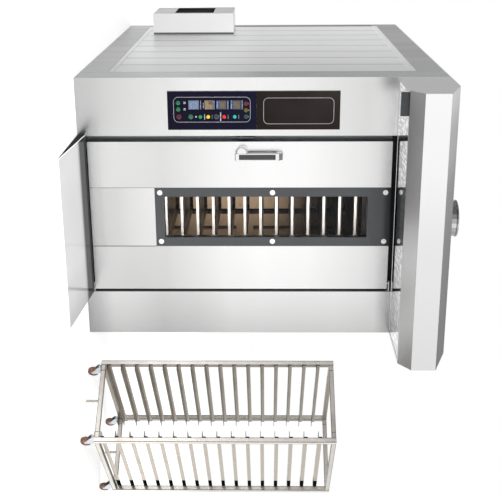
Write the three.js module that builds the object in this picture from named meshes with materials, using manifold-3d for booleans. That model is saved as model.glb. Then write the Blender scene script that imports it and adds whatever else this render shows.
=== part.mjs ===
// A rotating rack oven for bakeries, with the trolley rack that belongs to it.
// Millimetres, +Z up. The origin is on the floor, at the centre of the oven body's footprint.
// The front faces -Y.

import * as THREE from 'three';
import { mergeVertices } from 'three/addons/utils/BufferGeometryUtils.js';
import Module from 'manifold-3d';

const wasm = await Module();
wasm.setup();

// ---------------------------------------------------------------------------------------------
// Driving dimensions
// ---------------------------------------------------------------------------------------------

const seatGap = 0.3; // between two pieces that rest on each other
const facetTolerance = 0.02; // points closer to a straight edge than this are dropped

// Oven body
const bodyWidth = 1770;
const bodyDepth = 2850;
const bodyHeight = 2400;
const baseHeight = 50;
const baseRailWidth = 60;
const floorPlate = 5;
const sheet = 8; // a folded sheet with its stiffening
const roofSheet = 6;

// Front: left column, jamb gap, door in the room that is left, hinge gap, right column
const leftColumnWidth = 380;
const jambGap = 38;
const hingeGap = 21;
const rightColumnWidth = 305;
const columnReturn = 219;

// Side cladding
const claddingThickness = 20;
const stripCount = 8;
const stripRecess = 4;
const stripGroove = 10;
const grooveDepth = 9;
const claddingRearBorder = 80;
const claddingTopBorder = 185;
const claddingStepBorder = 42;
const claddingBottomBorder = 187;
const claddingLowerLip = 34;

// Baking chamber
const wall = 80;
const chamberSideRoom = 87; // the chamber is wider than the door by this much on each side
const chamberDepth = 1230;
const chamberFrontFrame = 20;
const frameOverlap = 37; // the door covers the front frame by this much
const ceilingStep = 10;
const partition = 60;
const slotWidth = 34;
const slotRows = 4;
const slotHeight = 300;
const slotInset = 90;
const returnRadius = 190;

// Door
const doorBottomGap = 10;
const doorHeadGap = 26;
const doorThickness = 60;
const doorSkin = 8;
const windowBandWidth = 408;
const windowFrameBottom = 430; // above the door's lower edge
const windowSide = 62;
const windowBottomMargin = 62;
const windowTopMargin = 150;
const windowFrameProud = 2;
const glassThickness = 6;
const glassLap = 8;
const capRadius = 17;
const capHeight = 3;
const capInset = 34;
const bandGroove = 5;
const gasketWidth = 16;
const gasketInset = 15;
const pivotInset = 30;
const pivotRadius = 10;
const pivotLength = 12;
const bracketPlate = 8;
const bracketHalfWidth = 22;

// Handle and latch
const latchHeight = 1072;
const handleSetback = 60; // hub centre from the door's free edge
const hubRadius = 30;
const escutcheonRadius = 36;
const escutcheonThickness = 12;
const spindleRadius = 8;
const handleStandOff = 62;
const leverThickness = 30;
const leverWidth = 45;
const leverOffset = 29;
const leverBelowHub = 45;
const leverAboveHub = 264;
const leverReturnGap = 6;
const gripWidth = 33;
const gripLength = 237;
const gripBelowHub = 19;
const gripProud = 3;
const boltHeight = 18;
const boltThickness = 16;
const boltLength = 60;
const boltTravel = 12;
const boltNoseGap = 0.5;
const strikeHeight = 113;
const strikeDepth = 40;
const strikeReach = 25;
const keeperClearance = 3;

// Control panel
const plateWidth = 249;
const plateCentreOffset = 22;
const plateThickness = 12;
const lowerPlateBottom = 595;
const lowerPlateHeight = 572;
const upperPlateHeight = 536;
const moduleWidth = 57;
const moduleOffset = -38;
const moduleProud = 3;
const modulePocket = 4;
const bezel = 5;
const screenDepth = 1.5;
const buttonOffset = 39;
const buttonRadius = 12;
const buttonProud = 9;
const buttonPocket = 11;
const buttonLength = 15;
const runningGap = 0.4;
const lampRadius = 10;
const lampProud = 6;
const lampRow = 505;
const lampPitch = 42;
const rotaryRadius = 14;
const rotaryProud = 14;
const rotaryStem = 7;
const rotaryRow = 70;

// Hood
const hoodDepth = 589;
const hoodTopDepth = 332;
const hoodDrop = 324;
const hoodFaceTop = 93; // below the top
const hoodFaceHeight = 155;
const hoodLowerDepth = 486;
const hoodSheet = 6;
const hoodLip = 26;
const hoodRibs = 9;
const flueRadius = 121;
const flueWall = 6;
const flueHeight = 118;
const flueSetback = 150;
const flueOffset = 102;

// Entry ramp
const rampDepth = 625;
const rampSideOverlap = 47;
const rampSheet = 5;

// Burner and its cover
const coverReach = 166;
const coverFront = 2246; // behind the front of the body
const coverDepth = 520;
const coverBottom = 270;
const coverHeight = 680;
const coverWall = 5;
const coverSlotDepth = 416;
const coverSlotBottom = 181;
const coverSlotHeight = 327;
const burnerRadius = 118;
const burnerBodyHeight = 280;
const burnerBodyDepth = 220;
const blastRadius = 55;
const blastClearance = 6;
const blastFlange = 95;
const blastFlangeThickness = 12;

// Heat exchanger
const drumRadius = 200;
const drumEndGap = 40;
const tubeRadius = 34;
const tubeColumns = 5;
const headerBottom = 1400;
const headerHeight = 110;
const headerHalfDepth = 190;
const pipeRadius = 90;
const pipeWall = 5;
const pipeClearance = 10;

// Circulation fan
const fanSetback = 300;
const fanRadius = 255;
const fanHeight = 100;
const fanEyeRadius = 150;
const fanPlate = 4;
const fanBlades = 10;
const fanBladeThickness = 5;
const fanHubRadius = 32;
const fanShaftRadius = 14;
const shaftClearance = 8;
const fanCeilingGap = 24;
const motorRadius = 110;
const motorFlange = 140;
const motorFlangeThickness = 14;
const motorRoofGap = 30;

// Turntable and its drive
const platterRadius = 545;
const platterThickness = 6;
const platterGap = 5;
const spindlePin = 20;
const spindleHub = 44;
const thrustBoss = 12;
const sprocketThickness = 8;
const sprocketLevel = 17;
const sprocketToothPitch = 46;
const turntableTeeth = 28;
const motorTeeth = 7;
const toothHeight = 8;
const chainThickness = 7;
const chainClearance = 0.5;
const gearboxHeight = 110;
const gearboxSize = 150;
const gearMotorRadius = 62;
const gearMotorHeight = 240;
const motorRibs = 8;
const outputShaft = 14;
const driveSetback = 118; // drive shaft from the side of the body
const hornHeight = 38;
const hornThickness = 12;
const hornWidth = 30;
const hornClearance = 3; // on each side of the rack's locating pin

// Racks
const levels = 16;
const postSize = 33;
const frameRail = 30;
const railSheet = 3;
const railHeight = 25;
const railLip = 40;
const railOverhang = 7;
const casterHeight = 100;
const wheelRadius = 37.5;
const wheelWidth = 24;
const casterTrail = 32;
const casterPlate = 4;
const casterPlateSize = 66;
const casterInset = 40;
const forkSheet = 3;
const forkGap = 2;
const crownThickness = 6;
const kingpin = 6;
const axleRadius = 5;
const locatingPinRadius = 9;
const locatingPinGap = 20; // above what the wheels stand on
const swivelRadius = 23;

// The loaded rack inside the chamber
const loadedWidth = 640;
const loadedDepth = 840;
const loadedHeadroom = 135;
const loadedTopGap = 84;
const loadedBottomGap = 41;
const loadedLevels = 13;
const trayWall = 3;
const trayRim = 24;
const traySideGap = 4;
const trayEndGap = 20;

// The trolley rack beside the oven
const trolleyWidth = 590;
const trolleyDepth = 960;
const trolleyHeight = 1688;
const trolleyTopGap = 118;
const trolleyBottomGap = 41;
const trolleyX = 1588;
const trolleyY = -1520;
const trolleyTurn = -52.3;
const casterTurn = 77; // in the trolley's own frame, so that the wheels trail to the right of the oven

// ---------------------------------------------------------------------------------------------
// Places worked out from the driving dimensions
// ---------------------------------------------------------------------------------------------

const leftX = -bodyWidth / 2;
const rightX = bodyWidth / 2;
const frontY = -bodyDepth / 2;
const rearY = bodyDepth / 2;
const claddingTop = bodyHeight - roofSheet - seatGap;

const columnRight = leftX + leftColumnWidth;
const doorLeft = columnRight + jambGap;
const rightColumnLeft = rightX - rightColumnWidth;
const doorRight = rightColumnLeft - hingeGap;
const doorWidth = doorRight - doorLeft;
const doorCentre = (doorLeft + doorRight) / 2;
const chamberHalfWidth = doorWidth / 2 + chamberSideRoom;

const hoodBottom = bodyHeight - hoodDrop;
const doorBottom = baseHeight + doorBottomGap;
const doorTop = hoodBottom - doorHeadGap;
const doorRear = frontY + doorThickness;

const gasketThickness = 20 - 2 * seatGap;
const shellFront = doorRear + gasketThickness + 2 * seatGap;
const chamberFront = shellFront + chamberFrontFrame;
const chamberRear = chamberFront + chamberDepth;
const chamberLeft = doorCentre - chamberHalfWidth;
const chamberRight = doorCentre + chamberHalfWidth;
const chamberTop = doorTop + ceilingStep;
const shellLeft = chamberLeft - wall;
const shellRight = chamberRight + wall;
const shellTop = chamberTop + wall;
const shellRear = rearY - claddingThickness - 25;
const hotFront = chamberRear + partition;
const hotRear = shellRear - wall;
const tableX = doorCentre;
const tableY = chamberFront + chamberDepth / 2;
const openingRight = doorRight - pivotInset - frameOverlap - seatGap;
const openingLeft = doorLeft + frameOverlap;
const openingTop = doorTop - frameOverlap;

const pipeX = doorCentre + chamberHalfWidth / 2;
const coverCentreY = frontY + coverFront + coverDepth / 2;
const coverCentreZ = coverBottom + coverHeight / 2;

// ---------------------------------------------------------------------------------------------
// Materials
// ---------------------------------------------------------------------------------------------

const material = (color, roughness, metalness, extra = {}) =>
  new THREE.MeshStandardMaterial({ color, roughness, metalness, ...extra });

const steel = material(0xd9dadb, 0.32, 0.85);
const sideSteel = material(0xbfc0c2, 0.38, 0.85);
const hoodSteel = material(0xc9cacc, 0.3, 0.85);
const polished = material(0xe4e5e6, 0.12, 0.95);
const darkSteel = material(0x505254, 0.42, 0.8);
const rackSteel = material(0xcbc5bc, 0.4, 0.8);
const zinc = material(0xb8c2c9, 0.35, 0.8);
const castIron = material(0x46484a, 0.6, 0.5);
const heatSteel = material(0x8a7a6a, 0.55, 0.7);
const blackPlate = material(0x141316, 0.25, 0.1);
const navyPlate = material(0x0f0f1c, 0.25, 0.1);
const grip = material(0x4a4b4c, 0.55, 0.1);
const seal = material(0x2a2a2b, 0.85, 0);
const glass = material(0xbfd2d6, 0.05, 0, { transparent: true, opacity: 0.25 });
const wheelBrown = material(0x8a5a42, 0.55, 0);
const burnerRed = material(0x9a3026, 0.45, 0.2);
const white = material(0xf3f3f1, 0.4, 0.1);
const plastic = (color) => material(color, 0.35, 0);

// ---------------------------------------------------------------------------------------------
// Solids
// ---------------------------------------------------------------------------------------------

// A closed three.js geometry as a solid that can be joined and cut.
function solid(geometry) {
  const bare = geometry.clone();
  bare.deleteAttribute('normal');
  bare.deleteAttribute('uv');
  const merged = mergeVertices(bare, 1e-4);
  return new wasm.Manifold(new wasm.Mesh({
    numProp: 3,
    vertProperties: new Float32Array(merged.attributes.position.array),
    triVerts: new Uint32Array(merged.index.array),
  }));
}

function box(x0, x1, y0, y1, z0, z1) {
  const geometry = new THREE.BoxGeometry(x1 - x0, y1 - y0, z1 - z0);
  geometry.translate((x0 + x1) / 2, (y0 + y1) / 2, (z0 + z1) / 2);
  return solid(geometry);
}

// A cylinder along 'x', 'y' or 'z', from one coordinate to another, with its axis at (a, b) in the other two.
function cylinder(axis, from, to, a, b, radius, sides = 24) {
  const geometry = new THREE.CylinderGeometry(radius, radius, to - from, sides);
  const middle = (from + to) / 2;
  if (axis === 'x') {
    geometry.rotateZ(Math.PI / 2);
    geometry.translate(middle, a, b);
  } else if (axis === 'y') {
    geometry.translate(a, middle, b);
  } else {
    geometry.rotateX(Math.PI / 2);
    geometry.translate(a, b, middle);
  }
  return solid(geometry);
}

// An outline in the YZ plane, extruded along X.
function prismX(outline, x0, x1) {
  const shape = new THREE.Shape(outline.map(([y, z]) => new THREE.Vector2(y, z)));
  const geometry = new THREE.ExtrudeGeometry(shape, { depth: x1 - x0, bevelEnabled: false });
  // Shape x becomes world y, shape y becomes world z, and the depth becomes world x.
  const turn = new THREE.Matrix4().set(0, 0, 1, x0, 1, 0, 0, 0, 0, 1, 0, 0, 0, 0, 0, 1);
  geometry.applyMatrix4(turn);
  return solid(geometry);
}

// An outline in the XZ plane, extruded along Y.
function prismY(outline, y0, y1) {
  const shape = new THREE.Shape(outline.map(([x, z]) => new THREE.Vector2(x, z)));
  const geometry = new THREE.ExtrudeGeometry(shape, { depth: y1 - y0, bevelEnabled: false });
  geometry.rotateX(Math.PI / 2);
  geometry.translate(0, y1, 0);
  return solid(geometry);
}

// An outline in the XY plane, extruded along Z.
function prismZ(outline, z0, z1) {
  const shape = new THREE.Shape(outline.map(([x, y]) => new THREE.Vector2(x, y)));
  const geometry = new THREE.ExtrudeGeometry(shape, { depth: z1 - z0, bevelEnabled: false });
  geometry.translate(0, 0, z0);
  return solid(geometry);
}

// A profile of (radius, height) points turned about Z; it closes on itself or on the axis.
function turned(profile, sides = 32) {
  const closed = [...profile, profile[0]].map(([r, z]) => new THREE.Vector2(r, z));
  const geometry = new THREE.LatheGeometry(closed, sides);
  geometry.rotateX(Math.PI / 2);
  let body = solid(geometry);
  if (body.volume() < 0) {
    body = solid(flipped(geometry));
  }
  return body;
}

function flipped(geometry) {
  const copy = geometry.clone();
  const index = copy.index.array;
  for (let i = 0; i < index.length; i += 3) {
    [index[i], index[i + 1]] = [index[i + 1], index[i]];
  }
  return copy;
}

// The radius of a faceted hole whose flats stand at the given distance from its axis.
const roundClear = (radius, sides) => radius / Math.cos(Math.PI / sides);

const join = (...parts) => parts.flat().reduce((sum, part) => sum.add(part));
const cut = (body, ...tools) => tools.flat().reduce((rest, tool) => rest.subtract(tool), body);

// A mirror copy across the plane x = centre.
function mirroredX(body, centre = 0) {
  return body.mirror([1, 0, 0]).translate([2 * centre, 0, 0]);
}

function mesh(name, body, finish) {
  const data = body.asOriginal().simplify(facetTolerance).getMesh();
  const geometry = new THREE.BufferGeometry();
  geometry.setAttribute('position', new THREE.BufferAttribute(new Float32Array(data.vertProperties), 3));
  geometry.setIndex(new THREE.BufferAttribute(new Uint32Array(data.triVerts), 1));
  geometry.computeVertexNormals();
  const piece = new THREE.Mesh(geometry, finish);
  piece.name = name;
  return piece;
}

const oven = new THREE.Group();

// ---------------------------------------------------------------------------------------------
// Base, chamber and drive
// ---------------------------------------------------------------------------------------------

const driveX = leftX + driveSetback;
const tableSprocketRadius = (turntableTeeth * sprocketToothPitch) / (2 * Math.PI);
const motorSprocketRadius = (motorTeeth * sprocketToothPitch) / (2 * Math.PI);
const barTop = thrustBoss - 4;

// A floor plate on rails: a block hollowed from below, with a low bar under the turntable's bearing.
function baseFrame() {
  const inset = claddingThickness + seatGap;
  const x0 = leftX + inset;
  const x1 = rightX - inset;
  const y0 = frontY + sheet + seatGap;
  const y1 = rearY - inset;
  const under = baseHeight - floorPlate;
  const pocketLeft = x0 + baseRailWidth / 2;
  const pocketRight = x1 - baseRailWidth / 2;
  const pocket = (from, to, bottom) => box(pocketLeft, pocketRight, from, to, bottom, under);
  const block = cut(
    box(x0, x1, y0, y1, 0, baseHeight),
    pocket(y0 + baseRailWidth, -baseRailWidth / 2, barTop),
    pocket(y0 + baseRailWidth, tableY - baseRailWidth, -1),
    pocket(tableY + baseRailWidth, -baseRailWidth / 2, -1),
    pocket(baseRailWidth / 2, y1 - baseRailWidth, -1),
    cylinder('z', barTop + 2, baseHeight + 1, tableX, tableY, platterRadius + platterGap, 40),
    cylinder('z', barTop + 2, baseHeight + 1, driveX, tableY, outputShaft + 6, 24),
  );
  const boss = cylinder('z', barTop / 2, thrustBoss, tableX, tableY, spindleHub + 12, 32);
  const pin = cylinder('z', barTop / 2, baseHeight - platterThickness, tableX, tableY, spindlePin, 24);
  return join(block, boss, pin);
}

function chamberShell() {
  const floor = baseHeight + seatGap;
  const outer = box(shellLeft, shellRight, shellFront, shellRear, floor, shellTop);
  const baking = box(chamberLeft, chamberRight, chamberFront, chamberRear, floor - 1, chamberTop);
  const hot = box(chamberLeft, chamberRight, hotFront, hotRear, floor - 1, chamberTop);
  const opening = box(openingLeft, openingRight, shellFront - 1, chamberFront + 1, floor - 1, openingTop);
  const slots = [];
  const slotMargin = 130;
  const span = chamberTop - floor - 2 * slotMargin;
  for (const side of [-1, 1]) {
    for (let row = 0; row < slotRows; row += 1) {
      const z = floor + slotMargin + (span * (row + 0.5)) / slotRows;
      const x = doorCentre + side * (chamberHalfWidth - slotInset);
      slots.push(box(
        x - slotWidth / 2, x + slotWidth / 2, chamberRear - 1, hotFront + 1,
        z - slotHeight / 2, z + slotHeight / 2,
      ));
    }
  }
  const returnZ = headerBottom + headerHeight / 2;
  const fanY = hotFront + fanSetback;
  const through = (x, y, radius) => cylinder('z', chamberTop - 1, shellTop + 1, x, y, radius, 24);
  const blastHole = blastRadius + blastClearance;
  const holes = [
    cylinder('y', chamberRear - 1, hotFront + 1, tableX, returnZ, returnRadius, 28),
    through(tableX, fanY, fanShaftRadius + shaftClearance),
    through(pipeX, coverCentreY, pipeRadius + pipeClearance),
    cylinder('x', shellLeft - 1, chamberLeft + 1, coverCentreY, coverCentreZ, blastHole, 20),
  ];
  return cut(outer, baking, hot, opening, slots, holes);
}

// A chain wheel: each tooth has a wide root and a narrow tip.
function sprocket(teeth, radius, z0, z1) {
  const root = radius - toothHeight / 2;
  const tip = radius + toothHeight / 2;
  const outline = [];
  for (let i = 0; i < teeth; i += 1) {
    for (const [share, reach] of [[-0.3, root], [-0.1, tip], [0.1, tip], [0.3, root]]) {
      const angle = (2 * Math.PI * (i + share)) / teeth;
      outline.push([reach * Math.cos(angle), reach * Math.sin(angle)]);
    }
  }
  return prismZ(outline, z0, z1);
}

function turntable() {
  const top = baseHeight;
  const under = top - platterThickness;
  const bore = spindlePin + seatGap;
  const body = turned([
    [bore, thrustBoss + seatGap],
    [spindleHub, thrustBoss + seatGap],
    [spindleHub, under],
    [platterRadius, under],
    [platterRadius, top],
    [0, top],
    [0, under + 2],
    [bore, under + 2],
  ], 36);
  const wheel = cut(
    sprocket(turntableTeeth, tableSprocketRadius, sprocketLevel, sprocketLevel + sprocketThickness),
    cylinder('z', 0, baseHeight, 0, 0, spindleHub - 4, 24),
  );
  const horns = [];
  const hornX = locatingPinRadius + hornClearance;
  for (const end of [-1, 1]) {
    for (const side of [-1, 1]) {
      const y = end * (loadedDepth / 2 - frameRail / 2);
      horns.push(box(
        side > 0 ? hornX : -hornX - hornThickness, side > 0 ? hornX + hornThickness : -hornX,
        y - hornWidth / 2, y + hornWidth / 2, top - 2, top + hornHeight,
      ));
    }
  }
  return join(body, wheel, horns).translate([tableX, tableY, 0]);
}

function driveSprocket() {
  const wheel = sprocket(motorTeeth, motorSprocketRadius, sprocketLevel, sprocketLevel + sprocketThickness);
  const shaft = cylinder('z', sprocketLevel - 2, baseHeight + gearboxHeight / 2, 0, 0, outputShaft, 20);
  return join(wheel, shaft).translate([driveX, tableY, 0]);
}

// The chain runs round both sprockets on their common tangents.
function driveChain() {
  const lay = toothHeight / 2 + chainClearance;
  const loop = (offset) => {
    const span = tableX - driveX;
    const lean = Math.acos((tableSprocketRadius - motorSprocketRadius) / span);
    const largeSteps = 32;
    const smallSteps = 10;
    const large = (tableSprocketRadius + offset) / Math.cos((Math.PI - lean) / largeSteps);
    const small = (motorSprocketRadius + offset) / Math.cos(lean / smallSteps);
    const points = [];
    for (let i = 0; i <= largeSteps; i += 1) {
      const angle = -(Math.PI - lean) + (2 * (Math.PI - lean) * i) / largeSteps;
      points.push([tableX + large * Math.cos(angle), large * Math.sin(angle)]);
    }
    for (let i = 0; i <= smallSteps; i += 1) {
      const angle = Math.PI - lean + (2 * lean * i) / smallSteps;
      points.push([driveX + small * Math.cos(angle), small * Math.sin(angle)]);
    }
    return points;
  };
  const z0 = sprocketLevel + 0.5;
  const z1 = sprocketLevel + sprocketThickness - 0.5;
  const outer = prismZ(loop(lay + chainThickness), z0, z1);
  const inner = prismZ(loop(lay), z0 - 1, z1 + 1);
  return cut(outer, inner).translate([0, tableY, 0]);
}

function rackGearmotor() {
  const z0 = baseHeight + seatGap;
  const half = gearboxSize / 2;
  const top = z0 + gearboxHeight;
  const motorTop = top + gearMotorHeight;
  const gearbox = box(driveX - half, driveX + half, tableY - half, tableY + half, z0, top);
  const neck = cylinder('z', top - 1, top + 20, driveX, tableY, gearMotorRadius - 8, 20);
  const motor = cylinder('z', top + 18, motorTop, driveX, tableY, gearMotorRadius, 20);
  const ribs = [];
  for (let i = 0; i < motorRibs; i += 1) {
    const rib = box(gearMotorRadius - 3, gearMotorRadius + 7, -2, 2, top + 40, motorTop - 30);
    ribs.push(rib.rotate([0, 0, (360 * i) / motorRibs]).translate([driveX, tableY, 0]));
  }
  const boreTop = baseHeight + gearboxHeight / 2 + 1;
  const bore = cylinder('z', z0 - 1, boreTop, driveX, tableY, outputShaft + seatGap, 20);
  return cut(join(gearbox, neck, motor, ribs), bore);
}

// ---------------------------------------------------------------------------------------------
// Heat: burner, exchanger, fan
// ---------------------------------------------------------------------------------------------

function heatExchanger() {
  const x0 = chamberLeft + drumEndGap;
  const x1 = chamberRight - drumEndGap;
  const drum = cylinder('x', x0, x1, coverCentreY, coverCentreZ, drumRadius, 28);
  const floor = baseHeight + seatGap;
  const saddles = [0.15, 0.85].map((share) => {
    const x = x0 + (x1 - x0) * share;
    const reach = drumRadius * 0.8;
    return box(x - 15, x + 15, coverCentreY - reach, coverCentreY + reach, floor, coverCentreZ);
  });
  const tubes = [];
  for (const row of [-1, 1]) {
    for (let i = 0; i < tubeColumns; i += 1) {
      const x = x0 + ((x1 - x0) * (i + 0.5)) / tubeColumns;
      const y = coverCentreY + row * drumRadius * 0.45;
      tubes.push(cylinder('z', coverCentreZ, headerBottom + 5, x, y, tubeRadius, 8));
    }
  }
  const headerTop = headerBottom + headerHeight;
  const header = box(
    x0, x1, coverCentreY - headerHalfDepth, coverCentreY + headerHalfDepth, headerBottom, headerTop,
  );
  const pipe = cylinder('z', headerBottom + 10, bodyHeight, pipeX, coverCentreY, pipeRadius, 24);
  const bore = pipeRadius - pipeWall;
  const pipeBore = cylinder('z', headerTop - headerHeight / 2, bodyHeight + 1, pipeX, coverCentreY, bore, 24);
  const port = cylinder('x', x0 - 1, x0 + 90, coverCentreY, coverCentreZ, blastRadius + seatGap, 20);
  return cut(join(drum, saddles, tubes, header, pipe), pipeBore, port);
}

function burner() {
  const outer = leftX - coverReach + coverWall + 30;
  const bodyEnd = leftX + 80;
  const scroll = cylinder('x', outer, leftX - 20, coverCentreY, coverCentreZ, burnerRadius, 24);
  const housing = box(
    outer + 40, bodyEnd, coverCentreY - burnerBodyDepth / 2, coverCentreY + burnerBodyDepth / 2,
    coverCentreZ - burnerBodyHeight / 2, coverCentreZ + burnerBodyHeight / 2,
  );
  const along = (from, to, radius) => cylinder('x', from, to, coverCentreY, coverCentreZ, radius, 20);
  const flangeFace = shellLeft - seatGap;
  const tube = along(bodyEnd - 1, chamberLeft + drumEndGap + 60, blastRadius);
  const flange = along(flangeFace - blastFlangeThickness, flangeFace, blastFlange);
  const eye = along(outer - 1, outer + 12, burnerRadius * 0.55);
  return cut(join(scroll, housing, tube, flange), eye);
}

function burnerCover() {
  const x0 = leftX - coverReach;
  const x1 = leftX - seatGap;
  const y0 = frontY + coverFront;
  const y1 = y0 + coverDepth;
  const z1 = coverBottom + coverHeight;
  const shell = cut(
    box(x0, x1, y0, y1, coverBottom, z1),
    box(x0 + coverWall, x1 + 1, y0 + coverWall, y1 - coverWall, coverBottom + coverWall, z1 - coverWall),
  );
  const z = coverBottom + coverSlotBottom;
  const mouth = box(
    x0 - 1, x0 + coverWall + 1, coverCentreY - coverSlotDepth / 2, coverCentreY + coverSlotDepth / 2,
    z, z + coverSlotHeight,
  );
  return cut(shell, mouth);
}

// One backward-curved blade, drawn as a thick arc from the eye to the rim.
function fanBlade(z0, z1, turn) {
  const steps = 4;
  const sweep = 0.75;
  const inner = fanEyeRadius - 20;
  const outer = fanRadius - 2;
  const outline = [];
  const point = (share, side) => {
    const radius = inner + (outer - inner) * share;
    const angle = turn - sweep * share * share;
    const normal = angle + Math.PI / 2;
    return [
      radius * Math.cos(angle) + side * (fanBladeThickness / 2) * Math.cos(normal),
      radius * Math.sin(angle) + side * (fanBladeThickness / 2) * Math.sin(normal),
    ];
  };
  for (let i = 0; i <= steps; i += 1) {
    outline.push(point(i / steps, -1));
  }
  for (let i = steps; i >= 0; i -= 1) {
    outline.push(point(i / steps, 1));
  }
  return prismZ(outline, z0, z1);
}

const fanTop = chamberTop - fanCeilingGap;
const fanBottom = fanTop - fanHeight;
const shaftTop = shellTop + motorFlangeThickness + 20;

function circulationFan() {
  const back = cylinder('z', fanTop - fanPlate, fanTop, 0, 0, fanRadius, 32);
  const ring = cut(
    cylinder('z', fanBottom, fanBottom + fanPlate, 0, 0, fanRadius, 32),
    cylinder('z', fanBottom - 1, fanBottom + fanPlate + 1, 0, 0, fanEyeRadius, 24),
  );
  const blades = [];
  for (let i = 0; i < fanBlades; i += 1) {
    blades.push(fanBlade(fanBottom + fanPlate / 2, fanTop - fanPlate / 2, (2 * Math.PI * i) / fanBlades));
  }
  const hub = cylinder('z', fanTop - 60, fanTop + 8, 0, 0, fanHubRadius, 24);
  const shaft = cylinder('z', fanTop - 10, shaftTop, 0, 0, fanShaftRadius, 20);
  return join(back, ring, blades, hub, shaft).translate([tableX, hotFront + fanSetback, 0]);
}

function fanMotor() {
  const z0 = shellTop + seatGap;
  const z1 = bodyHeight - roofSheet - motorRoofGap;
  const flange = cylinder('z', z0, z0 + motorFlangeThickness, 0, 0, motorFlange, 28);
  const body = cylinder('z', z0 + motorFlangeThickness - 1, z1, 0, 0, motorRadius, 28);
  const terminals = box(motorRadius - 20, motorRadius + 40, -40, 40, z0 + 60, z0 + 130);
  const bore = cylinder('z', z0 - 1, shaftTop + 2, 0, 0, fanShaftRadius + seatGap, 20);
  return cut(join(flange, body, terminals), bore).translate([tableX, hotFront + fanSetback, 0]);
}

// ---------------------------------------------------------------------------------------------
// Cladding, columns, roof
// ---------------------------------------------------------------------------------------------

// The left side as it is seen: strips between grooves, inside a border, drawn at the left wall.
function sideCladding() {
  const y0 = frontY + columnReturn + seatGap;
  const y1 = rearY;
  const inner = leftX + claddingThickness;
  const back = box(leftX + grooveDepth, inner, y0, y1, 0, claddingTop);
  const frontBorder = 12;
  const z0 = claddingBottomBorder + claddingLowerLip;
  const z1 = bodyHeight - claddingTopBorder - claddingStepBorder;
  const borders = [
    box(leftX, inner - 1, y0, y1, 0, claddingBottomBorder),
    box(leftX + stripRecess / 2, inner - 1, y0, y1, 0, z0),
    box(leftX + stripRecess / 2, inner - 1, y0, y1, z1, claddingTop),
    box(leftX, inner - 1, y0, y1, bodyHeight - claddingTopBorder, claddingTop),
    box(leftX, inner - 1, y1 - claddingRearBorder, y1, 0, claddingTop),
    box(leftX, inner - 1, y0, y0 + frontBorder, 0, claddingTop),
  ];
  const stripsFront = y0 + frontBorder;
  const pitch = (y1 - claddingRearBorder - stripsFront) / stripCount;
  const strips = [];
  for (let i = 0; i < stripCount; i += 1) {
    const from = stripsFront + i * pitch + stripGroove / 2;
    strips.push(box(leftX + stripRecess, inner - 1, from, from + pitch - stripGroove, z0 - 1, z1 + 1));
  }
  return join(back, borders, strips);
}

// The burner's cover stands on a flush landing round the port that the burner goes through.
function leftSideCladding() {
  const halfY = burnerBodyDepth / 2 + 40;
  const halfZ = burnerBodyHeight / 2 + 40;
  const port = box(
    leftX - 1, leftX + claddingThickness + 1, coverCentreY - halfY, coverCentreY + halfY,
    coverCentreZ - halfZ, coverCentreZ + halfZ,
  );
  const landing = box(
    leftX, leftX + claddingThickness - 1, frontY + coverFront, frontY + coverFront + coverDepth,
    coverBottom, coverBottom + coverHeight,
  );
  return cut(join(sideCladding(), landing), port);
}

function rearCladding() {
  const x0 = leftX + claddingThickness + seatGap;
  const x1 = rightX - claddingThickness - seatGap;
  const recess = rearY - grooveDepth;
  const back = box(x0, x1, rearY - claddingThickness, recess, 0, claddingTop);
  const panels = [];
  const count = 3;
  const pitch = (x1 - x0) / count;
  for (let i = 0; i < count; i += 1) {
    const from = x0 + i * pitch + stripGroove / 2;
    panels.push(box(from, from + pitch - stripGroove, recess - 1, rearY, claddingBottomBorder, claddingTop));
  }
  panels.push(box(x0, x1, recess - 1, rearY, 0, claddingBottomBorder - stripGroove));
  return join(back, panels);
}

function roofPanel() {
  const under = bodyHeight - roofSheet;
  const panel = box(leftX, rightX, frontY, rearY, under, bodyHeight);
  const hole = (x, y, radius) => cylinder('z', under - 1, bodyHeight + 1, x, y, radius, 28);
  return cut(
    panel,
    hole(flueOffset, frontY + flueSetback, flueRadius - flueWall),
    hole(pipeX, coverCentreY, pipeRadius + pipeClearance / 2),
  );
}

// A column folded from sheet: front face, outer return along the side, and the jamb back to the chamber.
function column(outerX, innerX) {
  const side = Math.sign(innerX - outerX);
  const span = (a, b) => [Math.min(a, b), Math.max(a, b)];
  const jambRear = shellFront - seatGap;
  const face = box(...span(outerX, innerX), frontY, frontY + sheet, 0, claddingTop);
  const outer = box(...span(outerX, outerX + side * sheet), frontY, frontY + columnReturn, 0, claddingTop);
  const jambFoot = baseHeight + seatGap;
  const inner = box(...span(innerX - side * sheet, innerX), frontY, jambRear, jambFoot, claddingTop);
  return join(face, outer, inner);
}

const pivotX = doorRight - pivotInset;
const pivotY = frontY + doorThickness / 2;

function rightFrontColumn() {
  const plates = [];
  for (const z of [baseHeight + seatGap, doorTop + (doorHeadGap - bracketPlate) / 2]) {
    const half = bracketHalfWidth;
    const plate = box(pivotX - 1, rightColumnLeft + 1, pivotY - half, pivotY + half, z, z + bracketPlate);
    const end = cylinder('z', z, z + bracketPlate, pivotX, pivotY, half, 20);
    const bore = roundClear(pivotRadius + seatGap, 20);
    const hole = cylinder('z', z - 1, z + bracketPlate + 1, pivotX, pivotY, bore, 20);
    plates.push(cut(join(plate, end), hole));
  }
  return join(column(rightX, rightColumnLeft), plates);
}

// ---------------------------------------------------------------------------------------------
// Hood, flue collar, ramp
// ---------------------------------------------------------------------------------------------

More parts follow.
